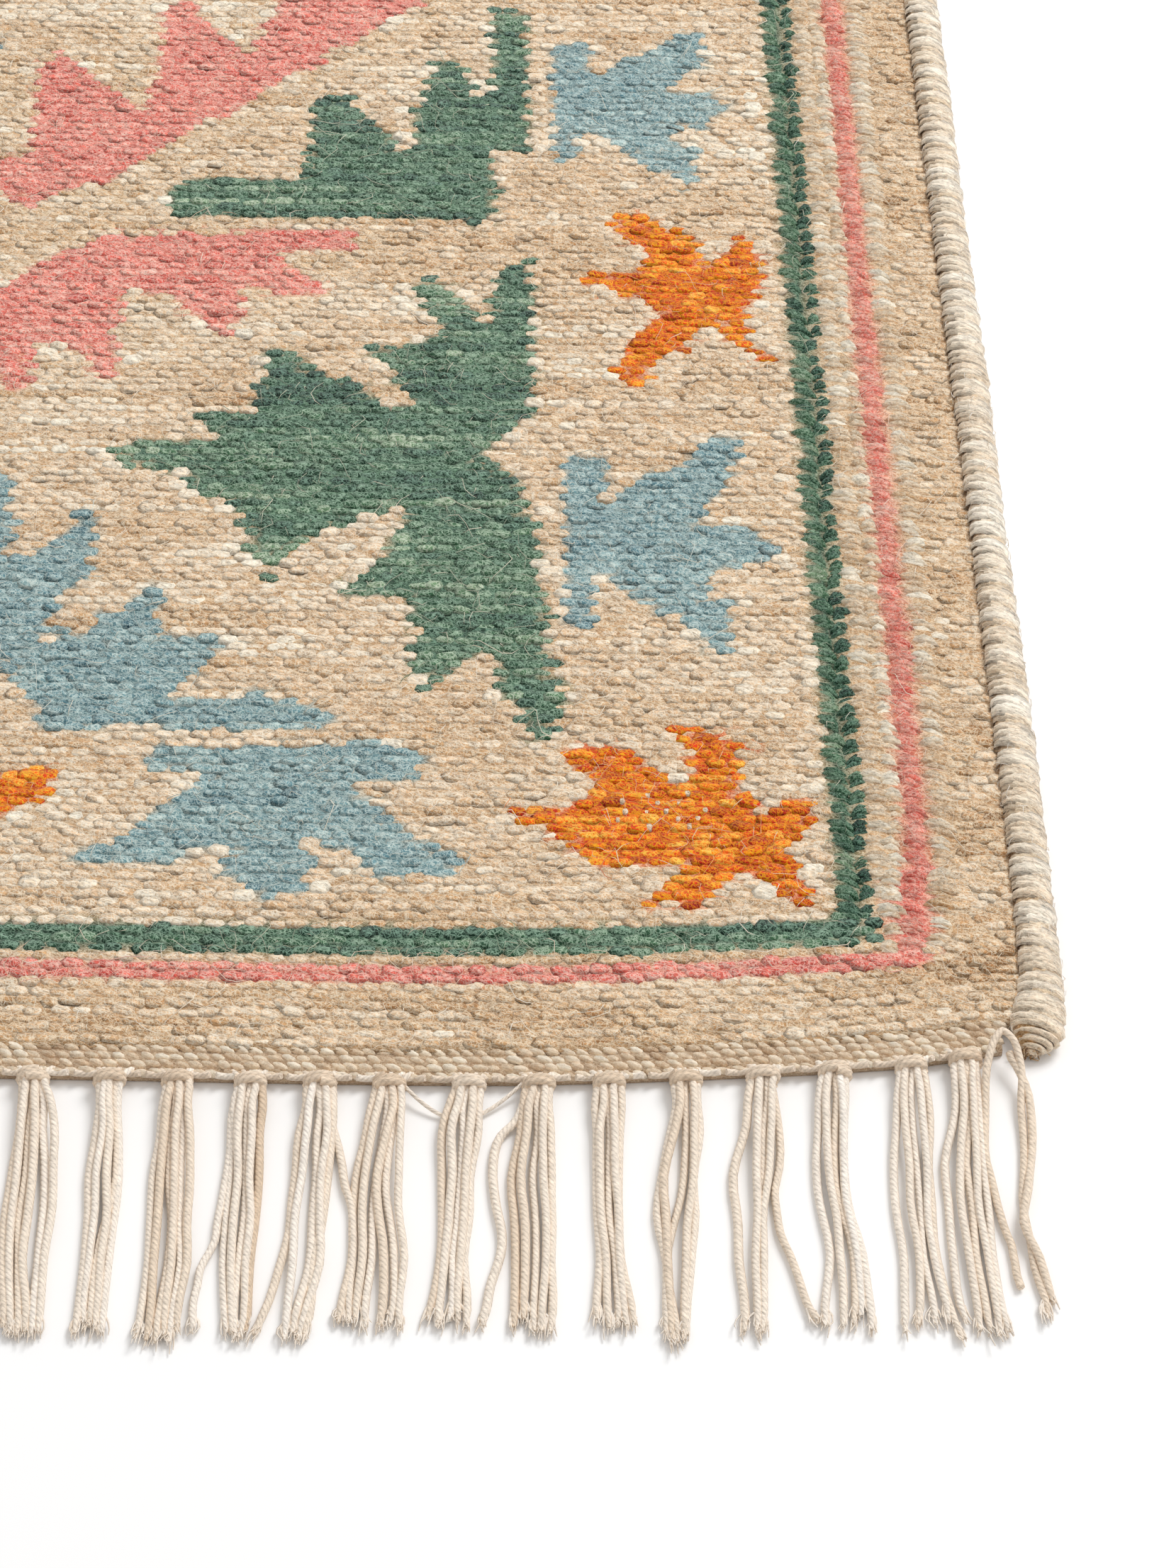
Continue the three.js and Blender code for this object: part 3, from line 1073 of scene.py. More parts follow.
@dataclass(frozen=True)
class YarnFinish:
    """How one kind of yarn looks: its colour comes from the attribute yarn on the piece."""

    name: str
    roughness: float = 0.92
    sheen: float = 0.3
    lean: float = 0.35
    contrast: float = 0.5
    relief: float = 0.0006
    rise: float = 1.0
    twist_lay: float = 0.0
    twist_groove_shade: float = 0.09
    twist_relief: float = 0.00014
    woven: bool = False
    tangle_highlight_and_shade: float = 0.0
    fibre_relief: float = 0.00003
    calm: float = 0.0

    def material(self, groups: dict[str, NodeTree]) -> Material:
        """Builds the material.

        Args:
            groups: the shared shader groups by name.

        Returns:
            The material.
        """
        made = bpy.data.materials.new(self.name)
        made.use_nodes = True
        tree = made.node_tree
        skin = next(n for n in tree.nodes if n.type == "BSDF_PRINCIPLED")
        skin.inputs["Roughness"].default_value = self.roughness
        skin.inputs["Specular IOR Level"].default_value = 0.2
        skin.inputs["Sheen Weight"].default_value = self.sheen
        skin.inputs["Sheen Roughness"].default_value = 0.5
        colour = tree.nodes.new("ShaderNodeAttribute")
        colour.attribute_name = "yarn"
        tone, normal = colour.outputs["Color"], None
        if self.calm:
            node = tree.nodes.new("ShaderNodeGroup")
            node.node_tree = groups["calm"]
            node.inputs["Calm"].default_value = self.calm
            normal = node.outputs["Normal"]
        layers = [("fibre", {"Lean": self.lean, "Contrast": self.contrast, "Rise": self.rise}, self.relief)]
        if self.twist_lay:
            twist = {"Lay": self.twist_lay, "Contrast": self.twist_groove_shade}
            layers.append(("plies", twist, self.twist_relief))
        # The weave layer adds the rows as bump, with painted shade in the grooves between floats.
        if self.woven:
            layers.append(("weave", {}, 0.0009))
        for label, values, relief in layers:
            node = tree.nodes.new("ShaderNodeGroup")
            node.node_tree = groups[label]
            for key, value in values.items():
                node.inputs[key].default_value = value
            tone = reckon(tree, "SCALE", tone, node.outputs["Shade"])
            bump = tree.nodes.new("ShaderNodeBump")
            bump.inputs["Strength"].default_value = 0.8
            bump.inputs["Distance"].default_value = relief
            tree.links.new(node.outputs["Height"], bump.inputs["Height"])
            if normal is not None:
                tree.links.new(normal, bump.inputs["Normal"])
            normal = bump.outputs["Normal"]
        if self.tangle_highlight_and_shade:
            node = tree.nodes.new("ShaderNodeGroup")
            node.node_tree = groups["tangle"]
            mix = tree.nodes.new("ShaderNodeMix")
            mix.data_type = "RGBA"
            sockets = {(i.name, i.type): i for i in mix.inputs}
            # Off the pale fibres the colour is darkened and warmed (gamma above 1, tint 0.96, 0.93, 0.88):
            # painted shade between the fibres. On them it is lightened towards cream: the loose fibres' paler
            # colour, partly painted highlight.
            for power, key in ((1 + 0.6 * self.tangle_highlight_and_shade, "A"), (1 - 0.75 * self.tangle_highlight_and_shade, "B")):
                curve = tree.nodes.new("ShaderNodeGamma")
                curve.inputs["Gamma"].default_value = power
                tree.links.new(tone, curve.inputs["Color"])
                tint = (1.03, 1.0, 0.9) if key == "B" else (0.96, 0.93, 0.88)
                tree.links.new(reckon(tree, "MULTIPLY", curve.outputs["Color"], tint), sockets[key, "RGBA"])
            tree.links.new(node.outputs["Pale"], mix.inputs[0])
            tone = next(o for o in mix.outputs if o.type == "RGBA")
            bump = tree.nodes.new("ShaderNodeBump")
            bump.inputs["Strength"].default_value = 0.8
            bump.inputs["Distance"].default_value = self.fibre_relief
            tree.links.new(node.outputs["Pale"], bump.inputs["Height"])
            tree.links.new(normal, bump.inputs["Normal"])
            normal = bump.outputs["Normal"]
        tree.links.new(tone, skin.inputs["Base Color"])
        tree.links.new(normal, skin.inputs["Normal"])
        return made


class Finishes:
    """The rug's finishes, built once."""

    def __init__(self) -> None:
        """Builds the shared groups and every material."""
        groups = {
            "fibre": fibre_group(),
            "tangle": tangle_group(),
            "calm": calm_group(),
            "plies": ply_group(),
            "weave": weave_groove_shade_group(),
        }
        self.weft = YarnFinish("weft_wool", contrast=0.5, tangle_highlight_and_shade=0.75, calm=0.6).material(groups)
        self.roll = YarnFinish("rolled_wool", contrast=0.5, tangle_highlight_and_shade=0.6, calm=0.2).material(groups)
        self.cloth = YarnFinish("cloth_wool", tangle_highlight_and_shade=0.6).material(groups)
        self.underside = YarnFinish("underside_wool", woven=True, tangle_highlight_and_shade=0.6).material(groups)
        self.edges = {
            side: YarnFinish(name, lean=0.42 * side, contrast=0.55, rise=0.25, tangle_highlight_and_shade=0.4).material(groups)
            for side, name in ((1, "right_edge_wool"), (-1, "left_edge_wool"))
        }
        self.hair = YarnFinish("loose_fibre", contrast=0.1, sheen=0.2, relief=0.00005).material(groups)
        cotton = {"contrast": 0.26, "sheen": 0.1, "relief": 0.0003}
        self.heading = YarnFinish("twined_cotton", lean=0.5, tangle_highlight_and_shade=0.35, **cotton).material(groups)
        cord = YarnFinish("cotton_strand", twist_lay=0.0064, twist_groove_shade=0.2, **cotton)
        self.cord = cord.material(groups)
        self.fray = YarnFinish("frayed_cotton", contrast=0.1, sheen=0.2, relief=0.00004).material(groups)


# ------------ the woven cloth


@dataclass
class Cloth:
    """The cloth itself under its raised weft: a closed sheet coloured by the cartoon.

    Its upper side's colours are multiplied by a darkening factor: painted shade where the sheet shows between
    the floats.
    """

    shape: RugShape
    cartoon: Cartoon
    crest: float = 3.45 * MM
    painted_gap_shade: tuple[float, float, float, float] = (0.88, 0.86, 0.84, 1)
    columns: int = 96
    rows: int = 160
    coarser: int = 2
    tuck: float = 1.2 * MM

    def grid(self, columns: int, rows: int, height: float) -> tuple[ndarray, ndarray]:
        """Lattice points of one face and their colours.

        Args:
            columns: cells across.
            rows: cells along.
            height: the face's height.

        Returns:
            Points and colours, both in rows of columns + 1.
        """
        x = np.linspace(-self.shape.side - self.tuck, self.shape.side + self.tuck, columns + 1)
        y = np.linspace(-self.shape.end - self.tuck, self.shape.end + self.tuck, rows + 1)
        flat_x, flat_y = (part.ravel() for part in np.meshgrid(x, y))
        laid_x, laid_y = self.shape.lay(flat_x, flat_y)
        points = np.stack([laid_x, laid_y, np.full(len(flat_x), height)], -1)
        wools = self.cartoon.wools(flat_x, flat_y)
        # The sheet's tone is lower than the floats': on its upper side this is painted shade where it shows
        # between them; the underside takes the same tone.
        tone = 0.42 + 0.16 * Drift(31).at(flat_x, flat_y, 0.03, 0.003)
        return points, yarn_colours(wools, tone)

    def rim(self, columns: int, rows: int) -> list[int]:
        """Lattice places round the edge, against the clock seen from above."""
        wide = columns + 1
        front = list(range(columns))
        right = [wide * j + columns for j in range(rows)]
        back = [wide * rows + i for i in range(columns, 0, -1)]
        left = [wide * j for j in range(rows, 0, -1)]
        return front + right + back + left

    def build(self, face: Material, underside: Material) -> Object:
        """Builds the sheet.

        Args:
            face: the upper side's material.
            underside: the lower side's material.
        """
        fine, rough = (self.columns, self.rows), (self.columns // self.coarser, self.rows // self.coarser)
        top, top_colours = self.grid(*fine, self.crest)
        base, base_colours = self.grid(*rough, self.shape.bottom)
        faces: list[list[int]] = []
        start = len(top)
        for (columns, rows), offset, upward in ((fine, 0, True), (rough, start, False)):
            for j in range(rows):
                for i in range(columns):
                    corner = offset + j * (columns + 1) + i
                    quad = [corner, corner + 1, corner + columns + 2, corner + columns + 1]
                    faces.append(quad if upward else quad[::-1])
        upper, lower = self.rim(*fine), [start + i for i in self.rim(*rough)]
        for k, low in enumerate(lower):
            ahead = lower[(k + 1) % len(lower)]
            strip = [upper[(k * self.coarser + i) % len(upper)] for i in range(self.coarser, -1, -1)]
            faces.append([low, ahead, *strip])
        mesh = bpy.data.meshes.new("kilim_cloth")
        mesh.from_pydata(np.concatenate([top, base]).tolist(), [], faces)
        mesh.polygons.foreach_set("use_smooth", [True] * len(mesh.polygons))
        # Painted shade: the upper side is darkened where it shows between the floats.
        colours = np.concatenate([top_colours * self.painted_gap_shade, base_colours])
        add_attribute(mesh, "yarn", "FLOAT_COLOR", colours)
        mesh.materials.append(face)
        mesh.materials.append(underside)
        below = self.columns * self.rows
        mesh.polygons.foreach_set("material_index", [int(i >= below) for i in range(len(faces))])
        return Loom.settle(show("kilim_cloth", mesh), "kilim_wool")


def yarn_colours(wools: ndarray, tone: ndarray) -> ndarray:
    """Colours for yarns of given wools and tones.

    Args:
        wools: an array of Wool members.
        tone: values from 0, dark, to 1, light.

    Returns:
        An array of four linear values for each.
    """
    colours = np.zeros((len(wools), 4))
    for wool, palette in PALETTES.items():
        held = wools == wool
        colours[held] = palette.pick(np.clip(tone[held], 0, 1))
    return colours


@dataclass
class WeftField:
    """The weft floats over the cloth: a grain for each pass over a warp.

    Shake, turn and spread are how far a float's place, direction and size stray. In the oval
    thin, its middle and half sizes, specks of warp show. Across outer_side and outer_end the
    ground darkens towards the edges.
    """

    shape: RugShape
    cartoon: Cartoon
    pitch_x: float = 5.2 * MM
    pitch_y: float = 3.15 * MM
    half: tuple[float, float, float] = (3.7 * MM, 2.45 * MM, 0.76 * MM)
    lift: float = 3.35 * MM
    shake: tuple[float, float, float] = (0.45 * MM, 0.26 * MM, 0.13 * MM)
    turn: tuple[float, float, float] = (0.09, 0.06, 0.16)
    lean: float = -0.1
    spread: tuple[float, float, float] = (0.1, 0.1, 0.13)
    loop_share: float = 0.2
    loop_growth: tuple[float, float, float] = (1.05, 1.4, 1.5)
    loop_paler: float = 0.18
    thin: tuple[float, float, float, float] = (199 * MM, -327 * MM, 13 * MM, 8.5 * MM)
    bare_share: float = 0.7
    bare_size: tuple[float, float, float] = (0.28, 0.6, 0.8)
    bare_rise: float = 0.12 * MM
    bare_tone: float = 0.7
    outer_side: tuple[float, float] = (0.272, 0.28)
    outer_end: tuple[float, float] = (0.388, 0.394)
    slub_share: float = 0.02
    slub_paler: float = 0.2
    seed: int = 41

    def spots(self) -> tuple[Spots, ndarray]:
        """Every float's place, turn, size and colour, and its wool."""
        rng = np.random.default_rng(self.seed)
        columns = round(2 * self.shape.side / self.pitch_x)
        rows = round(2 * self.shape.end / self.pitch_y)
        step_x, step_y = 2 * self.shape.side / columns, 2 * self.shape.end / rows
        i, j = np.meshgrid(np.arange(columns + 1), np.arange(rows))
        x = (i + 0.5 * (j % 2)) * step_x - self.shape.side
        y = (j + 0.5) * step_y - self.shape.end
        keep = (np.abs(x) < self.shape.side + 0.1 * MM) & ~rolled(x, y)
        wools = self.cartoon.wools(x.ravel(), y.ravel()).reshape(x.shape)
        edge = np.zeros(x.shape, bool)
        edge[:, 1:] |= wools[:, 1:] != wools[:, :-1]
        edge[:, :-1] |= wools[:, 1:] != wools[:, :-1]
        x, y, j, wools, edge = x[keep], y[keep], j[keep], wools[keep], edge[keep]
        ground = wools == Wool.GROUND
        tone = self.tones(x, y, j, wools, rng)
        laid_x, laid_y = self.shape.lay(x, y)
        count = len(x)
        places = np.stack(
            [
                laid_x + rng.normal(0, self.shake[0], count),
                laid_y + rng.normal(0, self.shake[1], count),
                self.lift + rng.normal(0, self.shake[2], count),
            ],
            -1,
        )
        leans = (0, 0, self.lean)
        turns = np.stack([rng.normal(lean, turn, count) for lean, turn in zip(leans, self.turn)], -1)
        sizes = np.array(self.half) * rng.normal(1, self.spread, (count, 3))
        loops = edge & ground & (rng.random(count) < self.loop_share)
        tone[loops] = np.clip(tone[loops] + self.loop_paler, 0, 1)
        sizes[loops] *= self.loop_growth
        across, along, half_across, half_along = self.thin
        bare = np.hypot((x - across) / half_across, (y - along) / half_along) < 1
        bare &= rng.random(count) < self.bare_share
        places = np.concatenate([places, places[bare] + (step_x / 2, 0, self.bare_rise)])
        turns = np.concatenate([turns, np.zeros((bare.sum(), 3))])
        sizes = np.concatenate([sizes, sizes[bare] * self.bare_size])
        wools = np.concatenate([wools, np.full(bare.sum(), Wool.GROUND)])
        tone = np.concatenate([tone, np.full(bare.sum(), self.bare_tone)])
        return Spots(places, turns, sizes, yarn_colours(wools, tone)), wools

    def tones(
        self, x: ndarray, y: ndarray, row: ndarray, wools: ndarray, rng: np.random.Generator
    ) -> ndarray:
        """How light each float is: uneven spinning, changes of skein, and slubs.

        Args:
            x: places across.
            y: places along.
            row: each float's row.
            wools: each float's wool.
            rng: the source of chance.

        Returns:
            Tones from 0, dark, to 1, light.
        """
        along_pick = Drift(42).at(x, row * 1.0, 0.045, 1.0)
        band = Drift(43).at(x, y, 0.3, 0.011)
        patch = Drift(44).at(x, y, 0.05, 0.03)
        chance = rng.normal(0, 1, len(x))
        ground = wools == Wool.GROUND
        outer = smoothstep(*self.outer_side, np.abs(x)) + smoothstep(*self.outer_end, np.abs(y))
        tone = np.where(
            ground,
            0.6 + 0.24 * along_pick + 0.07 * band + 0.1 * patch + 0.08 * chance - 0.13 * np.minimum(outer, 1),
            0.5 + 0.17 * along_pick + 0.06 * patch + 0.1 * chance,
        )
        tone += np.where(wools == Wool.GREEN, 0.24 * band + 0.16 * along_pick, 0)
        tone += np.where(wools == Wool.ORANGE, 0.12 * chance, 0)
        tone += np.where(ground & (rng.random(len(x)) < self.slub_share), self.slub_paler, 0)
        return np.clip(tone, 0, 1)

    def build(self, loom: Loom, finish: Material) -> list[Object]:
        """Lays the floats, one piece for each wool and the ground in two halves.

        Args:
            loom: lays them.
            finish: their material.
        """
        spots, wools = self.spots()
        front = spots.places[:, 1] < 0
        ground = wools == Wool.GROUND
        chosen = {"weft_ground_front": ground & front, "weft_ground_back": ground & ~front}
        for wool in Wool:
            if wool is not Wool.GROUND:
                chosen[f"weft_{wool.value}"] = wools == wool
        return [
            loom.lay(name, float_shape(), spots.taken(mask), finish, "kilim_wool")
            for name, mask in chosen.items()
        ]


@dataclass(frozen=True)
class Column:
    """A column of fat rolls of weft beside or on a long stripe, in millimetres from its middle."""

    stripe: Stripe
    wool: Wool
    offset_mm: float
    half_mm: float
    lean: float
    tone: float
    pitch_mm: float

    def centre(self, y: ndarray) -> ndarray:
        """Planned X of the column's middle on the right half, at places along the rug."""
        lean = self.stripe.corner_lean_mm * smoothstep(0.33, 0.39, np.abs(y))
        return (self.stripe.side_mm - lean + self.offset_mm) * MM

    def reach(self) -> float:
        """How far from the cross middle line the column runs."""
        return (self.stripe.end_mm - self.stripe.end_half_mm - 2.5) * MM


COLUMNS = (
    Column(STRIPES[0], Wool.GREEN, -1.8, 4.2, -0.5, 0.6, 6.6),
    Column(STRIPES[0], Wool.GREEN, 2.8, 2.8, 0.35, 0.25, 6.4),
    Column(STRIPES[0], Wool.GROUND, 7.6, 4.2, -0.2, 0.76, 6.6),
    Column(STRIPES[1], Wool.GROUND, -5.8, 3.2, -0.14, 0.78, 6.6),
    Column(STRIPES[1], Wool.PINK, -0.6, 4.1, -0.2, 0.64, 6.6),
    Column(STRIPES[1], Wool.GROUND, 6.4, 4.4, -0.26, 0.76, 6.6),
)


def rolled(x: ndarray, y: ndarray) -> ndarray:
    """Which planned places lie under a column of rolls."""
    hidden = np.zeros(np.shape(x), bool)
    for column in COLUMNS:
        beside = np.abs(np.abs(x) - column.centre(y)) < (column.half_mm - 0.9) * MM
        hidden |= beside & (np.abs(y) < column.reach())
    return hidden


@dataclass
class TurnLoops:
    """Fat rolls where the weft turns back along the long stripes.

    A roll strays across, along and up. Its three strands stray across and along.
    """

    shape: RugShape
    lift: float = 3.3 * MM
    high: float = 1.9 * MM
    strand_gap: float = 1.65 * MM
    bow: float = 0.35 * MM
    roll_stray: tuple[float, float, float] = (0.45 * MM, 0.35 * MM, 0.2 * MM)
    strand_stray: tuple[float, float] = (0.25 * MM, 0.13 * MM)
    seed: int = 51

    def build(self, loom: Loom, finish: Material) -> Object:
        """Lays every column on both sides of the rug.

        Args:
            loom: lays them.
            finish: their material.
        """
        rng = np.random.default_rng(self.seed)
        across_roll, along_roll, up_roll = self.roll_stray
        across, along = self.strand_stray
        parts = []
        for column in COLUMNS:
            for side in (-1, 1):
                rolls = int(2 * column.reach() / (column.pitch_mm * MM))
                middles = np.linspace(-column.reach(), column.reach(), rolls)
                middles += rng.normal(0, along_roll, rolls)
                y = (middles[:, None] + np.array([1, 0, -1]) * self.strand_gap).ravel()
                count = len(y)
                y += rng.normal(0, along, count)
                stray = np.repeat(rng.normal(0, across_roll, rolls), 3) + rng.normal(0, across, count)
                x = side * (column.centre(y) + stray)
                laid_x, laid_y = self.shape.lay(x, y)
                lift = self.lift + np.repeat(rng.normal(0, up_roll, rolls), 3)
                lift += np.tile([-1, 1, -1], rolls) * self.bow
                lean = np.repeat(rng.normal(side * column.lean, 0.1, rolls), 3) + rng.normal(0, 0.06, count)
                turns = np.stack([rng.normal(0, 0.1, count), rng.normal(0, 0.1, count), lean], -1)
                half = np.array([column.half_mm * MM, 0.8 * self.strand_gap, self.high])
                sizes = half * rng.normal(1, (0.14, 0.12, 0.12), (count, 3))
                tone = np.repeat(rng.normal(column.tone, 0.13, rolls), 3) + rng.normal(0, 0.1, count)
                colours = yarn_colours(np.full(count, column.wool, object), np.clip(tone, 0, 1))
                parts.append(Spots(np.stack([laid_x, laid_y, lift], -1), turns, sizes, colours))
        spots = Spots(*(np.concatenate([getattr(part, name) for part in parts]) for name in SPOT_PARTS))
        return loom.lay("turn_loops", arc_shape(0.9), spots, finish, "kilim_wool")


@dataclass
class Fuzz:
    """Loose wool fibres standing from the face of the cloth."""

    shape: RugShape
    cartoon: Cartoon
    lift: float = 4.15 * MM
    seed: int = 61
    kinds: tuple[tuple[Hair, int], ...] = (
        (Hair("fuzz_long", 10.5 * MM, 2.8 * MM, 1.6 * MM, 5, 0.095 * MM), 4200),
        (Hair("fuzz_curled", 5.0 * MM, 1.6 * MM, 1.3 * MM, 3, 0.1 * MM), 8000),
        (Hair("fuzz_short", 2.8 * MM, 0.7 * MM, 1.1 * MM, 2, 0.1 * MM), 7000),
    )

    def build(self, loom: Loom, finish: Material) -> list[Object]:
        """Scatters every kind of fibre.

        Args:
            loom: lays them.
            finish: their material.
        """
        rng = np.random.default_rng(self.seed)
        pieces = []
        for hair, count in self.kinds:
            x = rng.uniform(-self.shape.side, self.shape.side, count) * 0.99
            y = rng.uniform(-self.shape.end, self.shape.end, count) * 0.995
            laid_x, laid_y = self.shape.lay(x, y)
            places = np.stack([laid_x, laid_y, self.lift + rng.normal(0, 0.25 * MM, count)], -1)
            roll = np.clip(rng.normal(0, 0.35, count), -0.5, 0.5)
            tilt = rng.normal(0, 0.6 * MM / hair.length, count)
            turns = np.stack([roll, tilt, rng.uniform(0, math.tau, count)], -1)
            sizes = np.repeat(np.clip(rng.normal(1, 0.22, (count, 1)), 0.5, 1.4), 3, 1)
            tone = np.clip(rng.normal(0.8, 0.2, count), 0, 1)
            colours = yarn_colours(self.cartoon.wools(x, y), tone)
            colours += (np.array(PALE_FIBRE) - colours) * 0.9 * rng.uniform(0, 1, (count, 1))
            spots = Spots(places, turns, sizes, colours)
            pieces.append(loom.lay(hair.name, hair.shape(), spots, finish, "kilim_wool"))
        return pieces


# ------------ edges and ends


def smooth_line(stops: list[tuple[float, float, float]] | ndarray, count: int) -> ndarray:
    """A soft curve through stops.

    Args:
        stops: the points it passes through.
        count: how many points it gets.

    Returns:
        The points, evenly shared among the stretches between stops.
    """
    given = np.asarray(stops, float)
    padded = np.concatenate([[2 * given[0] - given[1]], given, [2 * given[-1] - given[-2]]])
    place = np.linspace(0, len(given) - 1, count)
    k = np.minimum(place.astype(int), len(given) - 2)
    t = (place - k)[:, None]
    a, b, c, d = (padded[k + i] for i in range(4))
    return 0.5 * (2 * b + (c - a) * t + (2 * a - 5 * b + 4 * c - d) * t**2 + (3 * b - a - 3 * c + d) * t**3)


def tube(name: str, rings: ndarray) -> Mesh:
    """A closed tube through rings of points, capped flat.

    Args:
        name: the mesh's name.
        rings: an array of rings, each an array of points.

    Returns:
        The mesh.
    """
    count, sides = rings.shape[:2]
    faces = [
        [s * sides + i, s * sides + (i + 1) % sides, (s + 1) * sides + (i + 1) % sides, (s + 1) * sides + i]
        for s in range(count - 1)
        for i in range(sides)
    ]
    faces += [list(range(sides)), list(range((count - 1) * sides, count * sides))]
    return closed_shape(name, rings.reshape(-1, 3).tolist(), faces)


@dataclass
class Selvedge:
    """A side edge: the outer warps bound over and over with pale wool into a round roll."""

    shape: RugShape
    side: int
    pitch: float = 2.15 * MM
    ring_turns: int = 13
    ring_thick: float = 0.15
    core_share: float = 0.84
    bundle: float = 7.5 * MM
    dome: float = 7.5 * MM
    dome_turns: float = 4.5
    dome_share: float = 0.9
    wound_thick: float = 0.95 * MM
    wound_low: float = 0.9 * MM
    lean: float = -0.42
    fuzz_count: int = 900
    tuft_count: int = 90
    tuft_length: float = 2.4 * MM
    seed: int = 71

    @property
    def name(self) -> str:
        """The CAD node that this edge stands for."""
        return "selvedge_right" if self.side > 0 else "selvedge_left"

    def roll(self, y: ndarray) -> tuple[ndarray, ndarray, ndarray]:
        """Centre, half width and half height of the roll at places along it."""
        inner = np.interp(y, self.shape.roll_y, self.shape.roll_inner)
        outer = np.interp(y, self.shape.roll_y, self.shape.roll_outer)
        height = np.interp(y, self.shape.roll_y, self.shape.roll_height)
        return self.side * (inner + outer) / 2, (outer - inner) / 2, height / 2

    def rounding(self, count: int) -> tuple[ndarray, ndarray]:
        """Places along the domed end of the roll, and the share of its full size there.

        Args:
            count: how many places.

        Returns:
            The places, the last at the tip, and the shares.
        """
        turn = np.linspace(0.05, 0.42, count) * math.pi
        return self.shape.roll_y.max() - self.dome * (1 - np.sin(turn)), np.cos(turn)

    def core(self, finish: Material) -> Object:
        """Builds the roll under the wraps.

        Args:
            finish: its material.
        """
        sides = 10
        end = self.shape.roll_y.max()
        round_y, round_share = self.rounding(5)
        straight = self.shape.roll_y[np.abs(self.shape.roll_y) < end - self.dome]
        y = np.concatenate([-round_y[::-1], straight, round_y])
        share = np.full(len(y), self.core_share)
        share[: len(round_y)] = self.dome_share * round_share[::-1]
        share[-len(round_y) :] = self.dome_share * round_share
        centre, wide, high = self.roll(y)
        angle = 2 * math.pi * np.arange(sides) / sides
        rings = np.stack(
            [
                centre[:, None] + (share * wide)[:, None] * np.cos(angle),
                np.repeat(y[:, None], sides, 1),
                high[:, None] * (1 + share[:, None] * np.sin(angle)),
            ],
            -1,
        )
        mesh = tube(f"{self.name}_core", rings)
        bare = (np.abs(rings[:, :, 1].ravel()) > end - self.dome)[:, None]
        rings[:, :, 1] += (rings[:, :, 0] - centre[:, None]) * math.tan(self.side * self.lean)
        tip = TIP_WOOL.pick(np.full(bare.size, 0.6))
        colours = np.where(bare, tip, SELVEDGE_WOOL.pick(np.zeros(bare.size)))
        add_attribute(mesh, "yarn", "FLOAT_COLOR", colours)
        mesh.materials.append(finish)
        return Loom.settle(show(mesh.name, mesh), "pale_wool")

    def wraps(self, loom: Loom, finish: Material) -> Object:
        """Lays the turns of pale wool round the roll.

        Args:
            loom: lays them.
            finish: their material.
        """
        rng = np.random.default_rng(self.seed + self.side)
        end = self.shape.roll_y.max() - self.dome
        steps = rng.normal(1, 0.16, int(2 * end / self.pitch))
        y = np.concatenate([[-end], np.cumsum(steps) / steps.sum() * 2 * end - end])
        centre, wide, high = self.roll(y)
        count = len(y)
        drift = y + 4 * MM * Drift(72).at(y, y * 0 + self.side, 22 * MM, 1)
        belly = np.sqrt(0.5 + 0.5 * np.cos(math.tau * drift / self.bundle))
        swell = 0.88 + 0.14 * belly + rng.normal(0, 0.006, count)
        along = np.full(count, 1.25 * self.pitch) * rng.normal(1, 0.12, count)
        sizes = np.stack([wide * np.minimum(swell, 1.03), along, high * swell], -1)
        lean = self.side * (self.lean + rng.normal(0, 0.06, count))
        sizes[:, 0] /= np.cos(lean)
        turns = np.stack([np.zeros(count), np.zeros(count), lean], -1)
        # The 0.4 * belly term lightens each bundle's middle: painted highlight on its crest, with painted
        # shade in the creases between bundles.
        tone = 0.38 + 0.4 * belly + 0.2 * Drift(73).at(y, y * 0 + self.side, 9 * MM, 1)
        tone += rng.normal(0, 0.1, count)
        places = np.stack([centre, y, high], -1)
        spots = Spots(places, turns, sizes, SELVEDGE_WOOL.pick(np.clip(tone, 0, 1)))
        ring = ring_shape(self.ring_turns, self.ring_thick)
        return loom.lay(f"{self.name}_wraps", ring, spots, finish, "pale_wool")

    def fuzz(self, loom: Loom, finish: Material) -> Object:
        """Scatters loose fibres over the upper half of the roll.

        Args:
            loom: lays them.
            finish: their material.
        """
        rng = np.random.default_rng(self.seed + 9 + self.side)
        count = self.fuzz_count
        y = rng.uniform(-1, 1, count) * (self.shape.roll_y.max() - 2 * MM)
        angle = rng.uniform(0, math.pi, count)
        centre, wide, high = self.roll(y)
        places = np.stack([centre + wide * np.cos(angle), y, high * (1 + np.sin(angle))], -1)
        turns = []
        for a in angle:
            spin = Matrix.Rotation(rng.uniform(0, math.tau), 3, "Z")
            turns.append((Matrix.Rotation(math.pi / 2 - a, 3, "Y") @ spin).to_euler())
        sizes = np.repeat(np.clip(rng.normal(1, 0.2, (count, 1)), 0.5, 1.5), 3, 1)
        colours = SELVEDGE_WOOL.pick(np.clip(rng.normal(0.8, 0.3, count), 0, 1))
        spots = Spots(places, np.array([tuple(turn) for turn in turns]), sizes, colours)
        hair = Hair("edge_hair", 3.6 * MM, 0.7 * MM, 0.9 * MM, 3, 0.08 * MM)
        return loom.lay(f"{self.name}_fuzz", hair.shape(), spots, finish, "pale_wool")

    def winding(self, end: int, steps: int = 60) -> ndarray:
        """The strand that winds round the domed end of the roll.

        Args:
            end: which end of the rug.
            steps: how many points it gets.

        Returns:
            Its centre line.
        """
        round_y, share = self.rounding(steps)
        angle = np.linspace(0, math.tau * self.dome_turns, steps)
        centre, wide, high = self.roll(end * round_y)
        across = self.dome_share * share * wide * np.cos(angle)
        y = end * round_y + across * math.tan(self.side * self.lean)
        up = np.maximum(high * (1 + 0.88 * share * np.sin(angle)), self.wound_low)
        return np.stack([centre + across, y, up], -1)

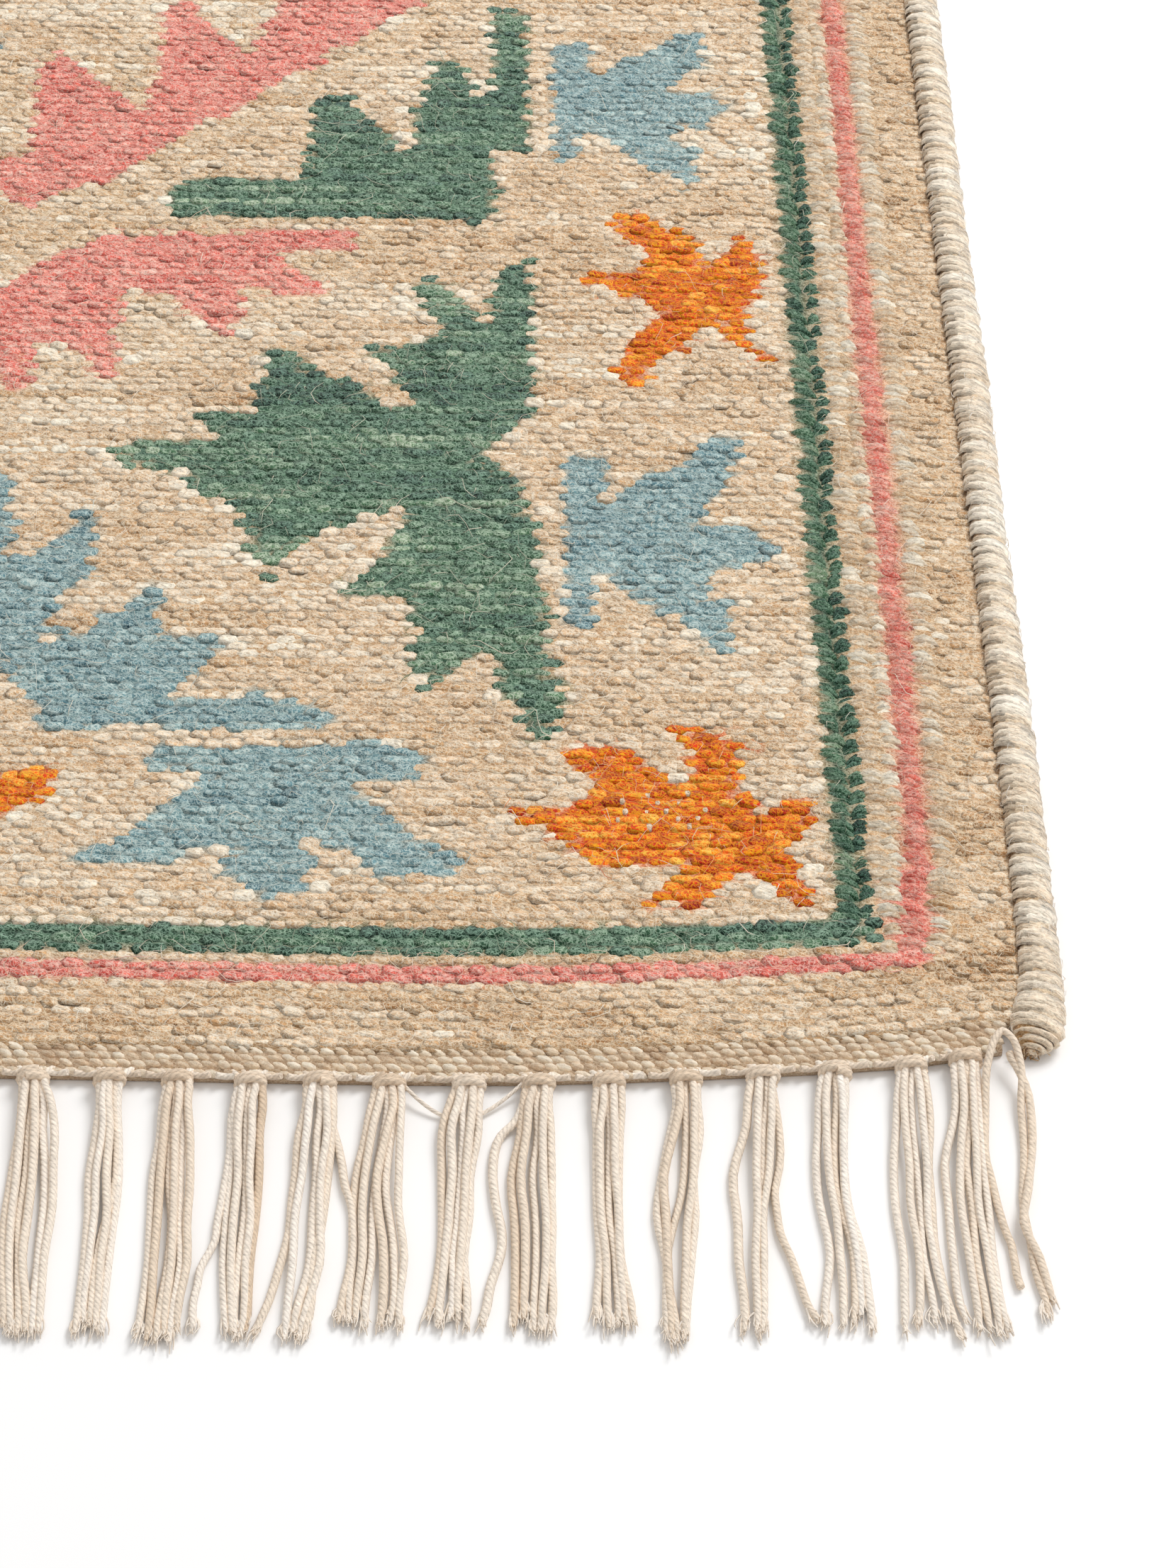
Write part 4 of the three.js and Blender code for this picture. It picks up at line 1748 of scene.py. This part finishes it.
    def tufts(self, loom: Loom, finish: Material) -> Object:
        """Spins the strand round each end of the roll and the cut brown ends that show there.

        Args:
            loom: spins them.
            finish: their material.
        """
        rng = np.random.default_rng(self.seed + 5 + self.side)
        lines = Lines()
        for end in (-1, 1):
            y = end * self.shape.roll_y.max()
            lines.add(self.winding(end), self.wound_thick, SELVEDGE_WOOL.pick(0.55))
            centre, wide, high = self.roll(np.array([y]))
            for _ in range(self.tuft_count):
                angle, reach = rng.uniform(0, math.tau), math.sqrt(rng.uniform(0, 1))
                spread = np.array([math.cos(angle) * wide[0] * 1.2, 0, math.sin(angle) * high[0] * 1.1])
                spread *= reach
                start = np.array([centre[0], y - end * 1.6 * MM, high[0]]) + spread * 0.62
                inward = rng.normal(-0.6 * self.side, 1.5) * MM
                out = end * rng.uniform(0.1, 1) * self.tuft_length
                sway = np.array([inward, out, rng.normal(0, 1.1) * MM])
                middle = start + sway * 0.55 + rng.normal(0, 0.4 * MM, 3)
                tip = start + sway + spread * 0.2
                tip[2], middle[2] = max(tip[2], 0.5 * MM), max(middle[2], 0.5 * MM)
                thick = rng.uniform(0.13, 0.24) * MM
                lines.add(np.array([start, middle, tip]), thick, TIP_WOOL.pick(rng.uniform(0.2, 1)))
        return loom.spin(f"{self.name}_tufts", lines, 4, finish, "pale_wool")

    def build(self, loom: Loom, wool: Material, hair: Material) -> list[Object]:
        """Builds the edge.

        Args:
            loom: lays and spins.
            wool: the material.
            hair: the loose fibres' material.

        Returns:
            The pieces; the CAD node is hidden and the core is built in its place.
        """
        core = self.core(wool)
        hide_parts(self.name)
        return [core, self.wraps(loom, wool), self.fuzz(loom, hair), self.tufts(loom, wool)]


@dataclass(frozen=True)
class Tassel:
    """A knotted bunch: its knot's place across, and how far each strand strays from there.

    Millimetres. A strand's four numbers are its drift just below the knot, at two fifths, at
    seven tenths and at the tip.
    """

    side: float
    short: float
    strands: tuple[tuple[float, float, float, float], ...]


TASSELS = (
    Tassel(15.8, 2, (
        (-3.4, -3.8, -3.4, -3), (-2, -2.6, -2.2, -0.8), (-0.6, -0.6, 0.4, 1.2), (0.8, 1, 1.8, 3.2),
        (2.4, 2.4, 3, 5),
    )),
    Tassel(31.6, 1, (
        (-3.6, -4.1, -5.2, -6), (-2, -1.4, -2.9, -3.8), (-0.4, 0.7, -0.6, -1.8), (1.4, 3.2, 1.6, 0.3),
        (3, 5.4, 3.4, 2),
    )),
    Tassel(47.4, 1, (
        (-2.7, -3.5, -3.7, -2.1), (-1.5, -1.8, -2.1, -0.4), (0.3, 0, -0.4, 1.2), (1.5, 1.7, 1.5, 2.9),
        (3.2, 4.6, 4.2, 4.5), (5.2, 6.8, 6.3, 6),
    )),
    Tassel(65.8, 1, (
        (-2, -2.9, -3.3, -4.1), (-0.8, -1.4, -2.2, -2.2), (1.8, 2.8, -0.6, -0.8), (0.8, 1.2, 1.4, 0.4),
        (2.4, 3.6, 2.6, 2.2),
    )),
    Tassel(82, 0, (
        (-3.6, -4.1, -4.4, -6.2), (-2, -2.4, -2.9, -3.8), (-0.4, -0.3, 0.2, -1.6), (0.6, 0.9, 0.9, 0.2),
        (1.4, 2.2, 2.6, 1.5), (3, 4.6, 4.2, 3),
    )),
    Tassel(99.6, 0, (
        (-3.8, -4.4, -4.4, -3.2), (-2.4, -2.4, -2.8, -2), (-0.6, -0.2, -1.2, -1), (1, 0.8, 0.6, 0),
        (2.6, 2.4, 1.4, 1.2),
    )),
    Tassel(116.3, 0, (
        (-4.2, -6.2, -7.4, -13.6), (-2.4, -4.4, -5.6, -6.6), (0.2, -0.8, -1.6, -4.8),
        (1.8, 1.2, 0.8, -3.4), (3, 1.8, 0, -2.2),
    )),
    Tassel(133, 3, (
        (-5.5, -7.6, -8.6, -11), (-3.2, -5.2, -5.6, -7.2), (-1, -3, -3.6, -4.8), (0.4, -2.2, -0.6, -1.4),
        (1.2, -1, 1.6, 0.8), (2.4, 2.2, 3.6, 3.2),
    )),
    Tassel(152.2, 4, (
        (-5.8, -6.4, -6.8, -9.8), (-4, -4.6, -5.2, -7.4), (-1.6, -2.8, -3.6, -4.8), (0.4, -1, -2, -2.6),
        (2, 0.2, -0.8, -1),
    )),
    Tassel(169, 3, (
        (-4.6, -6.8, -6, -6.6), (-2.6, -4.2, -3.4, -4.4), (-0.6, -1.4, -1, -2), (1, 0.6, 0.8, -0.2),
        (2.8, 2.2, 2.6, 1.6),
    )),
    Tassel(186, 3, (
        (-3.4, -3.8, -3.4, -4.6), (-2, -2.6, -2.2, -1.8), (-0.6, -0.6, -0.2, 0.2), (0.8, 1, 1.2, 2.2),
        (2.4, 1.4, 1.6, 4),
    )),
    Tassel(204.6, 0, (
        (-3.6, -7.6, -7, -7.4), (-2.6, -6.4, -6.4, -6), (-0.6, -1.6, -6, -4.6), (1.6, 0.4, -2.4, -3.2),
        (2.8, 1, -1, -2.6),
    )),
    Tassel(223.3, 2, (
        (-4.4, -8.6, -8, -8), (-1.6, -3, -4.4, -5), (0, -1.8, -3.8, -4.4), (1.4, -0.8, -2.8, -3.8),
    )),
    Tassel(240.8, 4, (
        (-4.4, -5.8, -4.4, -6.6), (-2.8, -3.4, -1.6, -2.6), (-0.4, -1.8, 0.6, -0.2), (0.8, 0, 1.8, 1.8),
        (2, 1, 2.6, 4),
    )),
    Tassel(259.4, 2, (
        (-4.6, -6.4, -6.2, -7), (-2.6, -2.8, -2.4, -3.8), (-0.8, -1, -0.8, 0.4), (1.4, 1.4, 0.6, 3.4),
        (3.2, 2.2, 1.8, 6.2),
    )),
    Tassel(272.8, 2, (
        (-3.6, -7.2, -7.8, -6), (-1.6, -4, -4, -3), (0, -1.8, -1.6, -0.6), (1.2, 0.2, 0.4, 1.8),
        (2.2, 1.4, 2, 3.6),
    )),
)
MIDDLE_TASSEL = Tassel(0, 3, (
    (-3.2, -2.8, -4, -5), (-1.6, -1, -1.6, -2.6), (0.2, 0.8, 0.4, -0.6), (1.6, 2.4, 1.4, 1.2),
    (3, 3.8, 3, 3.2),
))

# Strands apart from their tassels: across, along and, off the floor, up, in millimetres.
STRAYS = (
    (
        (97, -424, 3.4), (95.6, -434, 1.6), (95, -450, 1.2), (94, -463), (92.5, -472), (89.6, -481),
        (88.3, -489), (88.4, -499),
    ),
    ((118, -424, 3.2), (119.5, -434, 1.4), (122.8, -451), (124.6, -461), (125, -476), (124.4, -496)),
    (
        (166.5, -424, 3.2), (163.4, -433, 1.6), (159.4, -439, 1.2), (158, -450), (159, -460),
        (160.2, -470), (158.6, -480), (156.4, -490), (155.2, -497),
    ),
    (
        (225, -421, 3.2), (226.2, -434, 1.6), (225.6, -450, 1.2), (224.6, -459), (225.8, -469),
        (228, -479), (230, -489), (232.4, -496),
    ),
    (
        (280.4, -485), (279.6, -474), (278, -468), (276.2, -454, 1.2), (275.5, -444, 1.3),
        (276.4, -431, 2), (277.4, -419, 5), (279.4, -411, 6.8), (282, -408, 7.2), (284.4, -411, 6.6),
        (285.6, -419, 4.2), (285.4, -432, 1.6), (284, -450), (283, -464), (284.4, -478), (286, -494),
    ),
    (
        (283.6, -413, 4.6), (286.4, -420, 3.6), (287.2, -431, 2), (286.2, -446, 1.4), (284.2, -456, 2.6),
        (282.6, -468, 2.8), (285.6, -479, 2.2), (287.6, -490),
    ),
)
# A loose end that sags from one knot to the next but one.
SAGGING_END = (
    (136, -422.5, 3), (140.5, -427.5, 2), (145.5, -431, 1), (151, -432.6, 0.9), (156, -430, 1),
    (160.5, -426.5, 1.6), (165, -422.5, 3),
)


def knotted(step: int = 5, start: int = 3) -> list[Tassel]:
    """Every tassel of the front fringe, from left to right.

    Args:
        step: how many tassels apart the left ones take their strands from the right ones.
        start: the right tassel that the first left one takes its strands from.
    """
    left = [
        replace(TASSELS[(i * step + start) % len(TASSELS)], side=-right.side)
        for i, right in enumerate(TASSELS)
    ]
    return sorted([*left, MIDDLE_TASSEL, *TASSELS], key=lambda tassel: tassel.side)


def turned(points: ndarray, end: int) -> ndarray:
    """Front points as they are, or turned half round to the back end."""
    return points * (1, 1, 1) if end < 0 else points * (-1, -1, 1)


@dataclass
class Heading:
    """An end's heading: rows of twined cotton, and the warps that gather into each knot.

    Its stitches stray across, along and up.
    """

    shape: RugShape
    end: int
    rows: int = 4
    pitch: float = 3.4 * MM
    half: tuple[float, float, float] = (2.4 * MM, 1.35 * MM, 1.1 * MM)
    crest: tuple[float, ...] = (2.4 * MM, 2.8 * MM, 3.0 * MM, 3.0 * MM)
    lean: float = -0.34
    stray: tuple[float, float, float] = (0.2 * MM, 0.14 * MM, 0.15 * MM)
    warps_mm: tuple[float, ...] = (-4.4, -2.2, 0.2, 2.4, 4.3)
    warp_thick: float = 0.85 * MM
    seed: int = 81

    @property
    def name(self) -> str:
        """The CAD node that this heading stands for."""
        return "heading_front" if self.end < 0 else "heading_back"

    def ground(self, finish: Material) -> Object:
        """Builds the strip under the twining.

        Args:
            finish: its material.
        """
        x = np.linspace(-self.shape.heading_side, self.shape.heading_side, 73)
        wide = self.shape.heading_width
        profile = ((0.06, 0), (1, 0), (1.02, 2.5), (0.7, 2.9), (0.35, 2.7), (0.06, 1.8))
        ends = [self.shape.end_line(a) for a in x]
        rings = np.array(
            [[(a, y + across * wide, up * MM) for across, up in profile] for a, y in zip(x, ends)]
        )
        mesh = tube(f"{self.name}_ground", turned(rings, self.end))
        # The darkest cotton tone, times 0.8: painted shade where the strip shows between the stitches.
        dark = HEADING_COTTON.pick(np.zeros(len(mesh.vertices))) * (0.8, 0.8, 0.8, 1)
        add_attribute(mesh, "yarn", "FLOAT_COLOR", dark)
        mesh.materials.append(finish)
        return Loom.settle(show(mesh.name, mesh), "cotton_cord")

    def twining(self, loom: Loom, finish: Material) -> Object:
        """Lays the rows of short slanted stitches.

        Args:
            loom: lays them.
            finish: their material.
        """
        rng = np.random.default_rng(self.seed + self.end)
        reach = self.shape.heading_side - 1.6 * MM
        count = round(2 * reach / self.pitch)
        places, turns, sizes = [], [], []
        for row in range(self.rows):
            x = np.linspace(-reach, reach, count) + (row * 0.62 % 1 - 0.5) * self.pitch
            x += rng.normal(0, self.stray[0], count)
            y = self.shape.end_line(x) + (row + 0.62) / self.rows * self.shape.heading_width
            y += rng.normal(0, self.stray[1], count)
            z = np.full(count, self.crest[row]) + rng.normal(0, self.stray[2], count)
            places.append(np.stack([x, y, z], -1))
            turns.append(np.stack([np.zeros(count), np.zeros(count), rng.normal(self.lean, 0.12, count)], -1))
            sizes.append(np.array(self.half) * rng.normal(1, 0.07, (count, 3)))
        turn = np.concatenate(turns)
        turn[:, 2] += 0 if self.end < 0 else math.pi
        tone = np.clip(rng.normal(0.62, 0.24, len(turn)), 0, 1)
        laid = turned(np.concatenate(places), self.end)
        spots = Spots(laid, turn, np.concatenate(sizes), HEADING_COTTON.pick(tone))
        return loom.lay(f"{self.name}_twining", arc_shape(0.2), spots, finish, "cotton_cord")

    def gathers(self, loom: Loom, finish: Material) -> Object:
        """Spins the cords between knots and the warps above each.

        Args:
            loom: spins them.
            finish: their material.
        """
        rng = np.random.default_rng(self.seed + 10 + self.end)
        lines = Lines()
        knots = [tassel.side * MM for tassel in knotted()]
        for here, ahead in zip(knots, knots[1:]):
            middle = (here + ahead) / 2
            for start, stop, rise in ((here, middle + 2 * MM, 1.1), (middle - 2.5 * MM, ahead, 0.9)):
                xs = (start + 3 * MM, (start + stop) / 2, stop - 3 * MM)
                lows = (rise - 0.7, rise - 0.1, rise - 0.7)
                lifts = (3.0, 2.0, 3.0)
                stops = [
                    (x, self.shape.end_line(x) + low * MM, lift * MM) for x, low, lift in zip(xs, lows, lifts)
                ]
                tone = HEADING_COTTON.pick(rng.uniform(0.45, 0.9))
                lines.add(turned(smooth_line(stops, 7), self.end), self.warp_thick, tone)
        for knot in knots:
            y = self.shape.end_line(knot)
            for spread in self.warps_mm:
                spread += rng.normal(0, 0.5)
                stops = [
                    (knot + spread * MM, y + 2.8 * MM, 1.6 * MM),
                    (knot + 0.75 * spread * MM, y + 0.8 * MM, 2.9 * MM),
                    (knot + 0.5 * spread * MM, y - 0.9 * MM, 2.8 * MM),
                ]
                tone = HEADING_COTTON.pick(rng.uniform(0.5, 1.0))
                lines.add(turned(smooth_line(stops, 5), self.end), self.warp_thick, tone)
        return loom.spin(f"{self.name}_gathers", lines, 6, finish, "cotton_cord")

    def build(self, loom: Loom, finishes: Finishes) -> list[Object]:
        """Builds the heading.

        Args:
            loom: lays and spins.
            finishes: the materials.

        Returns:
            The pieces; the CAD node is hidden and the ground is built in its place.
        """
        ground = self.ground(finishes.heading)
        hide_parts(self.name)
        return [ground, self.twining(loom, finishes.heading), self.gathers(loom, finishes.cord)]


@dataclass
class Fringe:
    """An end's fringe: two-ply cotton warps, knotted in bunches, with frayed tips."""

    shape: RugShape
    end: int
    strand_thick: float = 1.05 * MM
    strand_steps: int = 18
    strand_sides: int = 6
    knot_half: tuple[float, float, float] = (3.1 * MM, 1.15 * MM, 2.1 * MM)
    knot_drop: float = 2.2 * MM
    knot_cord: float = 1.12 * MM
    knot_turns: float = 2.15
    fray: float = 7.0 * MM
    fray_count: int = 12
    fray_thick: float = 0.33 * MM
    wobble: float = 0.6 * MM
    knot_row_mm: float = 5.2
    sagging_thick: float = 0.55 * MM
    seed: int = 91

    @property
    def name(self) -> str:
        """The CAD node that this fringe stands for."""
        return "fringe_front" if self.end < 0 else "fringe_back"

    def tassel_strands(self, tassel: Tassel, rng: np.random.Generator) -> list[ndarray]:
        """Centre lines of a tassel's strands.

        Args:
            tassel: the tassel.
            rng: the source of chance.

        Returns:
            One line a strand, from its knot to its tip.
        """
        knot_x = tassel.side * MM
        top = self.shape.end_line(knot_x) - self.knot_drop
        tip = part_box("fringe_front")[0].y + tassel.short * MM
        places = sorted(strand[0] for strand in tassel.strands)
        routes = []
        for k, drifts in enumerate(tassel.strands):
            start = (places.index(drifts[0]) / max(len(places) - 1, 1) - 0.5) * self.knot_row_mm
            over = 1.5 * (k % 2)
            lifts = (3.3 + 0.5 * over, 2.2 + over, 1.1 + 0.85 * over, 1.1 + 0.6 * over, 1.1)
            shares = (0, 0.16, 0.42, 0.71, 1 + rng.normal(0, 0.016))
            stops = [
                (knot_x + drift * MM, top + (tip - top) * share, lift * MM)
                for drift, share, lift in zip((start, *drifts), shares, lifts)
            ]
            routes.append(smooth_line(stops, self.strand_steps))
        return routes

    def spin_strand(self, route: ndarray, lines: Lines, frays: Lines, rng: np.random.Generator) -> None:
        """Adds one strand and the fibres its tip comes apart into.

        Args:
            route: its centre line, tip last.
            lines: takes the strand.
            frays: takes the fibres.
            rng: the source of chance.
        """
        count = len(route)
        sway = Drift(int(rng.integers(1, 9999))).at(np.arange(count) * 1.0, np.zeros(count), 2.6, 1)
        line = route.copy()
        line[1:-1, 0] += self.wobble * sway[1:-1]
        thick = self.strand_thick * rng.normal(1, 0.05) * np.where(np.arange(count) < count - 1, 1, 0.5)
        colour = FRINGE_COTTON.pick(np.clip(rng.normal(0.7, 0.15), 0, 1))
        lines.add(turned(line, self.end), thick, colour)
        heading = line[-1] - line[-3]
        heading /= np.linalg.norm(heading)
        across = np.array([-heading[1], heading[0], 0])
        for k in range(self.fray_count):
            spread = (k / (self.fray_count - 1) - 0.5) * 2 + rng.normal(0, 0.25)
            start = line[-1] - heading * self.fray * 0.7 + across * spread * 0.55 * MM
            ahead = heading * rng.normal(0.05, 0.2) * self.fray
            tip = line[-1] + ahead + across * spread * rng.uniform(0.6, 1.5) * MM
            middle = (start + tip) / 2 + across * rng.normal(0, 0.5 * MM)
            start[2] += rng.uniform(-0.3, 0.5) * MM
            tip[2] = rng.uniform(0.5, 2.2) * MM
            shade = FRINGE_COTTON.pick(rng.uniform(0.7, 1.0))
            thick = self.fray_thick * rng.uniform(0.7, 1.2) * np.array([1, 1, 0.8, 0.45])
            frays.add(turned(smooth_line([start, middle, tip], 4), self.end), thick, shade)

    def knots(self, loom: Loom, finish: Material) -> Object:
        """Spins the cord that binds each tassel.

        Args:
            loom: spins it.
            finish: its material.
        """
        rng = np.random.default_rng(self.seed + 3 + self.end)
        lines = Lines()
        wide, step, high = self.knot_half
        for tassel in knotted():
            angle = np.linspace(0, math.tau * self.knot_turns, 27) + rng.uniform(0, math.tau)
            y = self.shape.end_line(tassel.side * MM) - self.knot_drop
            fall = np.linspace(step, -step, len(angle)) + 0.25 * MM * np.sin(angle)
            swell = rng.normal(1, 0.04)
            line = np.stack(
                [
                    tassel.side * MM + wide * swell * np.cos(angle),
                    y + fall,
                    self.knot_cord + high + high * np.sin(angle),
                ],
                -1,
            )
            lines.add(turned(line, self.end), self.knot_cord, FRINGE_COTTON.pick(rng.uniform(0.2, 0.6)))
        return loom.spin(f"{self.name}_knots", lines, 6, finish, "cotton_cord")

    def build(self, loom: Loom, finishes: Finishes) -> list[Object]:
        """Builds the fringe.

        Args:
            loom: spins the cords.
            finishes: the materials.

        Returns:
            The pieces; the CAD node is hidden and the strands are built in its place.
        """
        rng = np.random.default_rng(self.seed + self.end)
        lines, frays = Lines(), Lines()
        for tassel in knotted():
            for route in self.tassel_strands(tassel, rng):
                self.spin_strand(route, lines, frays, rng)
        for side in (1, -1):
            for stops in STRAYS:
                lying = np.array([(*stop, 1.1)[:3] for stop in stops])
                route = smooth_line(lying * MM * (side, 1, 1), len(stops) * 3)
                self.spin_strand(route, lines, frays, rng)
        sagging = smooth_line(np.array(SAGGING_END) * MM, 16)
        lines.add(turned(sagging, self.end), self.sagging_thick, FRINGE_COTTON.pick(0.8))
        strands = loom.spin(f"{self.name}_strands", lines, self.strand_sides, finishes.cord, "cotton_cord")
        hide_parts(self.name)
        tips = loom.spin(f"{self.name}_frays", frays, 3, finishes.fray, "cotton_cord")
        return [strands, tips, self.knots(loom, finishes.cord)]


# ------------ studio


@dataclass
class Studio:
    """A pale floor, a soft lamp, even light all round, and the camera."""

    floor_size: float = 30.0
    floor_drop: float = 0.2 * MM
    floor_colour: tuple[float, float, float, float] = (0.99, 0.984, 0.978, 1)
    lamp_size: float = 1.5
    lamp_distance: float = 3.0
    lamp_azimuth: float = 52.0
    lamp_elevation: float = 50.0
    lamp_power: float = 56.5
    ambient: float = 0.645
    eye: tuple[float, float, float] = (0.1419, -1.2060, 0.8355)
    pitch: float = 0.751817
    turn: float = 0.0462299
    roll: float = 0.0374653
    lens: float = 108.66

    def floor(self) -> Object:
        """Builds the floor."""
        half, low = self.floor_size / 2, -self.floor_drop
        mesh = bpy.data.meshes.new("floor")
        corners = [(-half, -half, low), (half, -half, low), (half, half, low), (-half, half, low)]
        mesh.from_pydata(corners, [], [(0, 1, 2, 3)])
        paint = bpy.data.materials.new("pale_floor")
        paint.use_nodes = True
        skin = next(n for n in paint.node_tree.nodes if n.type == "BSDF_PRINCIPLED")
        skin.inputs["Base Color"].default_value = self.floor_colour
        skin.inputs["Roughness"].default_value = 0.9
        skin.inputs["Specular IOR Level"].default_value = 0.0
        mesh.materials.append(paint)
        plane = show("floor", mesh)
        return plane

    def light(self) -> None:
        """Sets the lamp and the world."""
        data = bpy.data.lights.new("window", "AREA")
        data.shape = "DISK"
        data.size = self.lamp_size
        data.energy = self.lamp_power
        lamp = bpy.data.objects.new("window", data)
        azimuth, elevation = math.radians(self.lamp_azimuth), math.radians(self.lamp_elevation)
        flat = math.cos(elevation)
        away = Vector((math.sin(azimuth) * flat, math.cos(azimuth) * flat, math.sin(elevation)))
        lamp.location = away * self.lamp_distance
        lamp.rotation_euler = away.to_track_quat("Z", "Y").to_euler()
        bpy.context.scene.collection.objects.link(lamp)
        world = bpy.data.worlds.new("room")
        world.use_nodes = True
        bpy.context.scene.world = world
        tree = world.node_tree
        sky = next(n for n in tree.nodes if n.type == "BACKGROUND")
        path = tree.nodes.new("ShaderNodeLightPath")
        seen = reckon(tree, "MAXIMUM", path.outputs["Is Camera Ray"], path.outputs["Is Glossy Ray"])
        seen = reckon(tree, "MAXIMUM", seen, path.outputs["Is Transmission Ray"])
        strength = reckon(tree, "ADD", reckon(tree, "MULTIPLY", seen, 1 - self.ambient), self.ambient)
        sky.inputs["Color"].default_value = (1, 1, 1, 1)
        tree.links.new(strength, sky.inputs["Strength"])

    def camera(self) -> Object:
        """Sets the camera over the rug's near right corner."""
        flat = math.cos(self.pitch)
        ahead = Vector((math.sin(self.turn) * flat, math.cos(self.turn) * flat, -math.sin(self.pitch)))
        level = Vector((math.cos(self.turn), -math.sin(self.turn), 0))
        upright = level.cross(ahead)
        right = level * math.cos(self.roll) + upright * math.sin(self.roll)
        up = upright * math.cos(self.roll) - level * math.sin(self.roll)
        data = bpy.data.cameras.new("view")
        data.lens = self.lens
        data.sensor_width = 36
        data.sensor_fit = "AUTO"
        data.clip_start, data.clip_end = 0.05, 60
        camera = bpy.data.objects.new("view", data)
        rows = [(right[k], up[k], -ahead[k], self.eye[k]) for k in range(3)]
        camera.matrix_world = Matrix((*rows, (0, 0, 0, 1)))
        bpy.context.scene.collection.objects.link(camera)
        bpy.context.scene.camera = camera
        return camera

    def build(self) -> None:
        """Sets the whole studio."""
        self.floor()
        self.light()
        self.camera()
        bpy.context.scene.view_settings.view_transform = "Standard"


def main() -> None:
    """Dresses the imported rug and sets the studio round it."""
    logging.basicConfig(level=logging.INFO, format="%(name)s: %(message)s")
    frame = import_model()
    shape = RugShape(frame["nodes"])
    cartoon = Cartoon()
    finishes = Finishes()
    loom = Loom()
    cloth = Cloth(shape, cartoon).build(finishes.cloth, finishes.underside)
    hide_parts("kilim_panel")
    face = WeftField(shape, cartoon).build(loom, finishes.weft)
    face.append(TurnLoops(shape).build(loom, finishes.roll))
    face += Fuzz(shape, cartoon).build(loom, finishes.hair)
    for side in (1, -1):
        Selvedge(shape, side).build(loom, finishes.edges[side], finishes.hair)
    for end in (-1, 1):
        Heading(shape, end).build(loom, finishes)
        Fringe(shape, end).build(loom, finishes)
    Studio().build()


if __name__ == "__main__":
    main()
